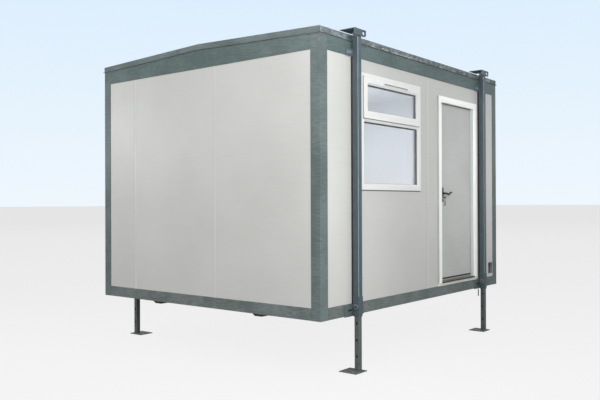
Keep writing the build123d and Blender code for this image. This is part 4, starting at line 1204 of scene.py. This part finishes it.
# ---------------- leg brackets
# Flat plates bolted through the trims hold each leg off the wall on welded spacers: a long one
# with two slots at the foot, and a shorter one under the fascia.
BRACKET = 0.006
STANDOFF = abs(LEGS["front_left"].translation.y) - TRIM_Y
PLATE_FACE = STANDOFF - BRACKET
LOW_HALF, LOW_FOOT, LOW_TOP = 0.155, BASE - 0.006, BASE + 0.102
HIGH_HALF, HIGH_FOOT, HIGH_TOP = 0.112, PANEL_TOP - 0.005, PANEL_TOP + 0.059
SLOT_X = 0.064
SLOT_HALF = 0.031
GAP_SHADE_HALF = 0.027


def low_bracket():
    """Slotted plate behind the sleeve and its spacers, about the leg's own centre line."""
    outline = eased([(-LOW_HALF, LOW_FOOT + 0.004), (-LOW_HALF + 0.012, LOW_FOOT),
                     (LOW_HALF - 0.012, LOW_FOOT), (LOW_HALF, LOW_FOOT + 0.004), (LOW_HALF, LOW_TOP),
                     (-LOW_HALF, LOW_TOP)], 0.003)
    slots = bmesh.new()
    for x in (-SLOT_X, SLOT_X):
        bar(slots, (x - SLOT_HALF, PLATE_FACE - 0.01, LOW_FOOT + 0.046),
            (x + SLOT_HALF, STANDOFF + 0.01, LOW_FOOT + 0.066), 0.0085, 4)
    mesh = merge(bmesh.new(), drilled(prism(bmesh.new(), outline, PLATE_FACE, STANDOFF, ALONG_Y), slots))
    bar(mesh, (-0.012, SLEEVE / 2 - 0.001, LOW_FOOT + 0.044), (0.012, PLATE_FACE + 0.001, LOW_TOP - 0.006))
    return bar(mesh, (-0.030, SLEEVE / 2 - 0.001, LOW_TOP - 0.030), (0.030, PLATE_FACE + 0.001, LOW_TOP))


def high_bracket():
    """Plate under the fascia and its spacer, about the leg's own centre line."""
    outline = rectangle((-HIGH_HALF, HIGH_FOOT), (HIGH_HALF, HIGH_TOP), 0.010)
    mesh = faced(bmesh.new(), outline, STANDOFF, PLATE_FACE, 0.001)
    return bar(mesh, (0.002 - OUTER_TUBE / 2, OUTER_TUBE / 2 - 0.001, HIGH_FOOT + 0.002),
               (OUTER_TUBE / 2 - 0.002, PLATE_FACE + 0.001, HIGH_TOP - 0.002))


low_brackets, high_brackets, bolts, gap_shade_strips = bmesh.new(), bmesh.new(), bmesh.new(), bmesh.new()
for place in LEGS.values():
    merge(low_brackets, low_bracket(), place)
    merge(high_brackets, high_bracket(), place)
    bar(gap_shade_strips, (-GAP_SHADE_HALF, OUTER_TUBE / 2 + 0.0005, LOW_TOP + 0.001),
        (GAP_SHADE_HALF, STANDOFF + STEEL - 0.001, HIGH_FOOT - 0.001), 0.002, 2, place)
    for side in (-1, 1):
        bar(gap_shade_strips, (side * SLOT_X - 0.0305, STANDOFF - 0.002, LOW_FOOT + 0.0465),
            (side * SLOT_X + 0.0305, STANDOFF - 0.0002, LOW_FOOT + 0.0655), 0.0002, 1, place)
        for x in (0.040, 0.084):
            spot = place @ Vector((side * x, PLATE_FACE, HIGH_FOOT + 0.036))
            out = place.to_3x3() @ Vector((0, -1, 0))
            washer_screw(bolts, tilt_to(out, spot), across=0.017, washer=0.0115)
# The head brackets took a paler, dustier coat.
pale_enamel = sprayed_enamel("pale_sprayed_bracket_enamel", "525e65", "606e76", "7d8a91", 0.45, 0.02, 40)
piece("leg_bracket_plates", high_brackets, pale_enamel, "cabin", "leg_paint", "leg_brackets")
# The slotted foot brackets carry the trims' grey, sprayed on after they were bolted up.
trim_enamel = sprayed_enamel("slate_oversprayed_enamel", "515c5c", "5b6766", "717c7b", 0.45, 0.02, 45)
piece("leg_foot_brackets", low_brackets, trim_enamel, "cabin", "leg_paint")
# Painted shade: black strips down the gap between each leg and the wall, and black pieces behind the bracket
# slots, where those gaps lie in deep shadow.
piece("leg_gap_painted_shade", gap_shade_strips, black_epdm_and_shade, "cabin", "inlet_plastic")
# Bolts painted over with the legs, rubbed back to a paler grey by the spanner.
bolt_enamel = sprayed_enamel("painted_bolt_heads", "707f86", "8a989f", "a5b1b6", 0.4, 0.1, 12)
piece("bracket_bolts", bolts, bolt_enamel, "cabin", "leg_paint")

# A spare pin hangs by a twist of wire from the bottom trim's flange, beside the front right leg
# and clear of its foot plate when the leg is drawn up.
hang = LEGS["front_right"] @ Vector((0.072, STANDOFF + 0.048, BASE))
spare = turned(bmesh.new(), [(0.0045, -0.112), (0.006, -0.108), (0.006, -0.032), (0.0045, -0.030),
                             (0, -0.030)], Matrix.Translation(hang), 16)
wire = ((0, 0, -0.034), (0.001, 0, -0.020), (0, 0.004, -0.008), (0, 0.006, 0.003))
tube_along(spare, [hang + Vector(p) for p in wire], 0.0016, 8, up=Vector((1, 0, 0)))
piece("spare_pin_on_wire", spare, inner_enamel, "cabin", "hinge_steel")

# ---------------- studio
# Pale seamless floor that keeps a soft shadow, and a sky-blue backdrop fading to white.
FLOOR_HALF = 400.0
FLOOR_DROP = 0.0005
PALEST = (-6.7, -5.2, 0.0)


def studio_floor():
    """Painted studio floor: a soft grey-white, palest in front; the camera sees it bright."""
    made, tree, spot = new_finish("pale_studio_floor")
    distance = add(tree, "VectorMath", {0: spot, 1: PALEST}, operation="DISTANCE").outputs["Value"]
    near = add(tree, "MapRange", {"Value": distance, "From Min": 5.0, "From Max": 14.0})
    far = add(tree, "MapRange", {"Value": distance, "From Min": 14.0, "From Max": 60.0})
    first = add(tree, "Mix", {0: near.outputs[0], 6: linear("fdfdfd"), 7: linear("f6f6f6")},
                data_type="RGBA")
    shown = add(tree, "Mix", {0: far.outputs[0], 6: first.outputs[2], 7: linear("eeeeee")},
                data_type="RGBA")
    glow = add(tree, "Emission", {"Color": shown.outputs[2], "Strength": 1.0})
    paint = add(tree, "BsdfDiffuse", {"Color": linear("b4b4b4")})
    ray = add(tree, "LightPath").outputs
    seen = add(tree, "Math", {0: ray["Is Camera Ray"], 1: ray["Is Transmission Ray"]}, operation="MAXIMUM")
    share = add(tree, "Math", {0: seen.outputs[0], 1: 0.88}, operation="MULTIPLY")
    both = add(tree, "MixShader", {0: share.outputs[0], 1: paint.outputs[0], 2: glow.outputs[0]})
    add(tree, "OutputMaterial", {"Surface": both.outputs[0]})
    return made


ground = bmesh.new()
bmesh.ops.create_grid(ground, x_segments=8, y_segments=8, size=FLOOR_HALF)
floor_object = set_down("studio_floor", mesh_data("studio_floor", ground))
floor_object.data.materials.append(studio_floor())
floor_object.location.z = -FLOOR_DROP

# The sky's strength on the object: the most from level, the least from overhead.
AMBIENT_LOW = 1.48
AMBIENT_HIGH = 0.4
world = bpy.data.worlds.new("studio_world")
bpy.context.scene.world = world
world.use_nodes = True
sky = world.node_tree
sky.nodes.clear()
height = add(sky, "SeparateXYZ", {0: add(sky, "TexCoord").outputs["Generated"]}).outputs["Z"]
lower_sky = add(sky, "MapRange", {"Value": height, "From Min": 0.0, "From Max": 0.16})
upper_sky = add(sky, "MapRange", {"Value": height, "From Min": 0.16, "From Max": 0.30})
haze = add(sky, "Mix", {0: lower_sky.outputs[0], 6: linear("eff7fe"), 7: linear("e4f2fd")}, data_type="RGBA")
blue = add(sky, "Mix", {0: upper_sky.outputs[0], 6: haze.outputs[2], 7: linear("dbedfe")}, data_type="RGBA")
seen_sky = add(sky, "Background", {"Color": blue.outputs[2], "Strength": 1.0})
fade = add(sky, "MapRange", {"Value": height, "From Min": 0.2, "From Max": 0.6, "To Min": AMBIENT_LOW,
                             "To Max": AMBIENT_HIGH})
soft_fill = add(sky, "Background", {"Color": linear("fcfcfd"), "Strength": fade.outputs[0]})
ray = add(sky, "LightPath").outputs
direct = add(sky, "Math", {0: ray["Is Camera Ray"], 1: ray["Is Transmission Ray"]}, operation="MAXIMUM")
mirrored = add(sky, "Math", {0: direct.outputs[0], 1: ray["Is Glossy Ray"]}, operation="MAXIMUM")
both_skies = add(sky, "MixShader", {0: mirrored.outputs[0], 1: soft_fill.outputs[0],
                                    2: seen_sky.outputs[0]})
add(sky, "OutputWorld", {"Surface": both_skies.outputs[0]})


def softbox(name, spot, aim, power, width, depth, warmth="ffffff"):
    """Studio softbox that lights the object and isn't seen itself."""
    data = bpy.data.lights.new(name, "AREA")
    data.shape = "RECTANGLE"
    data.size, data.size_y = width, depth
    data.energy = power
    data.color = linear(warmth)[:3]
    made = set_down(name, data)
    made.matrix_world = tilt_to(Vector(spot) - Vector(aim), spot)
    made.visible_camera = False
    return made


softbox("key_softbox", (-3.6, -3.6, 2.0), (-1.83, -1.52, 1.5), 27.0, 1.2, 1.2)
softbox("edge_softbox", (-2.2, -3.0, 1.6), (-1.6, -1.52, 1.6), 9.0, 0.5, 2.0)
softbox("corner_softbox", (-2.7, -2.4, 3.5), (-1.83, -1.52, 2.3), 13.0, 0.8, 0.8)
softbox("left_softbox", (-4.6, 0.6, 3.6), (-1.83, 0.0, 2.0), 30.0, 1.5, 1.5)
softbox("far_left_softbox", (-3.4, 3.0, 2.4), (-1.83, 1.3, 1.2), 14.0, 1.0, 1.0)
softbox("front_softbox", (-1.6, -4.4, 4.0), (-1.1, -1.52, 2.3), 36.0, 2.6, 2.0)
gridded = softbox("gridded_softbox", (-1.4, -5.6, 2.6), (1.6, -1.52, 2.0), 3.6, 1.0, 1.0)
gridded.data.spread = 0.7
# The room is lit by a panel under the ceiling and another that throws light up on to it.
for name, spot, aim, power in (("room_light_down", (0.0, 0.0, 2.9), (0.0, 0.0, 1.0), 20.0),
                               ("room_light_up", (0.0, 0.0, 1.2), (0.0, 0.0, 3.0), 62.0)):
    room_light = softbox(name, spot, aim, power, 2.6, 2.0, "edf0ff")
    room_light.visible_glossy = False
    room_light.visible_transmission = False

# ---------------- camera and picture
# A full-frame camera at eye level off the front left corner, with its lens nearly level.
LENS_MM = 42.83
CAMERA_SPOT = (-6.718, -5.223, 1.531)
YAW, PITCH, ROLL = radians(51.22), radians(0.25), radians(-0.22)
ahead = Vector((sin(YAW) * cos(PITCH), cos(YAW) * cos(PITCH), sin(PITCH)))
level = ahead.cross(Vector((0, 0, 1))).normalized()
upright = level.cross(ahead)
across = level * cos(ROLL) + upright * sin(ROLL)
above = across.cross(ahead)
camera = set_down("camera", bpy.data.cameras.new("camera"))
camera.data.lens = LENS_MM
camera.data.sensor_width = 36.0
camera.data.clip_end = 1000.0
facing = Matrix((across, above, -ahead)).transposed().to_4x4()
camera.matrix_world = Matrix.Translation(CAMERA_SPOT) @ facing
bpy.context.scene.camera = camera
bpy.context.scene.view_settings.view_transform = "Standard"
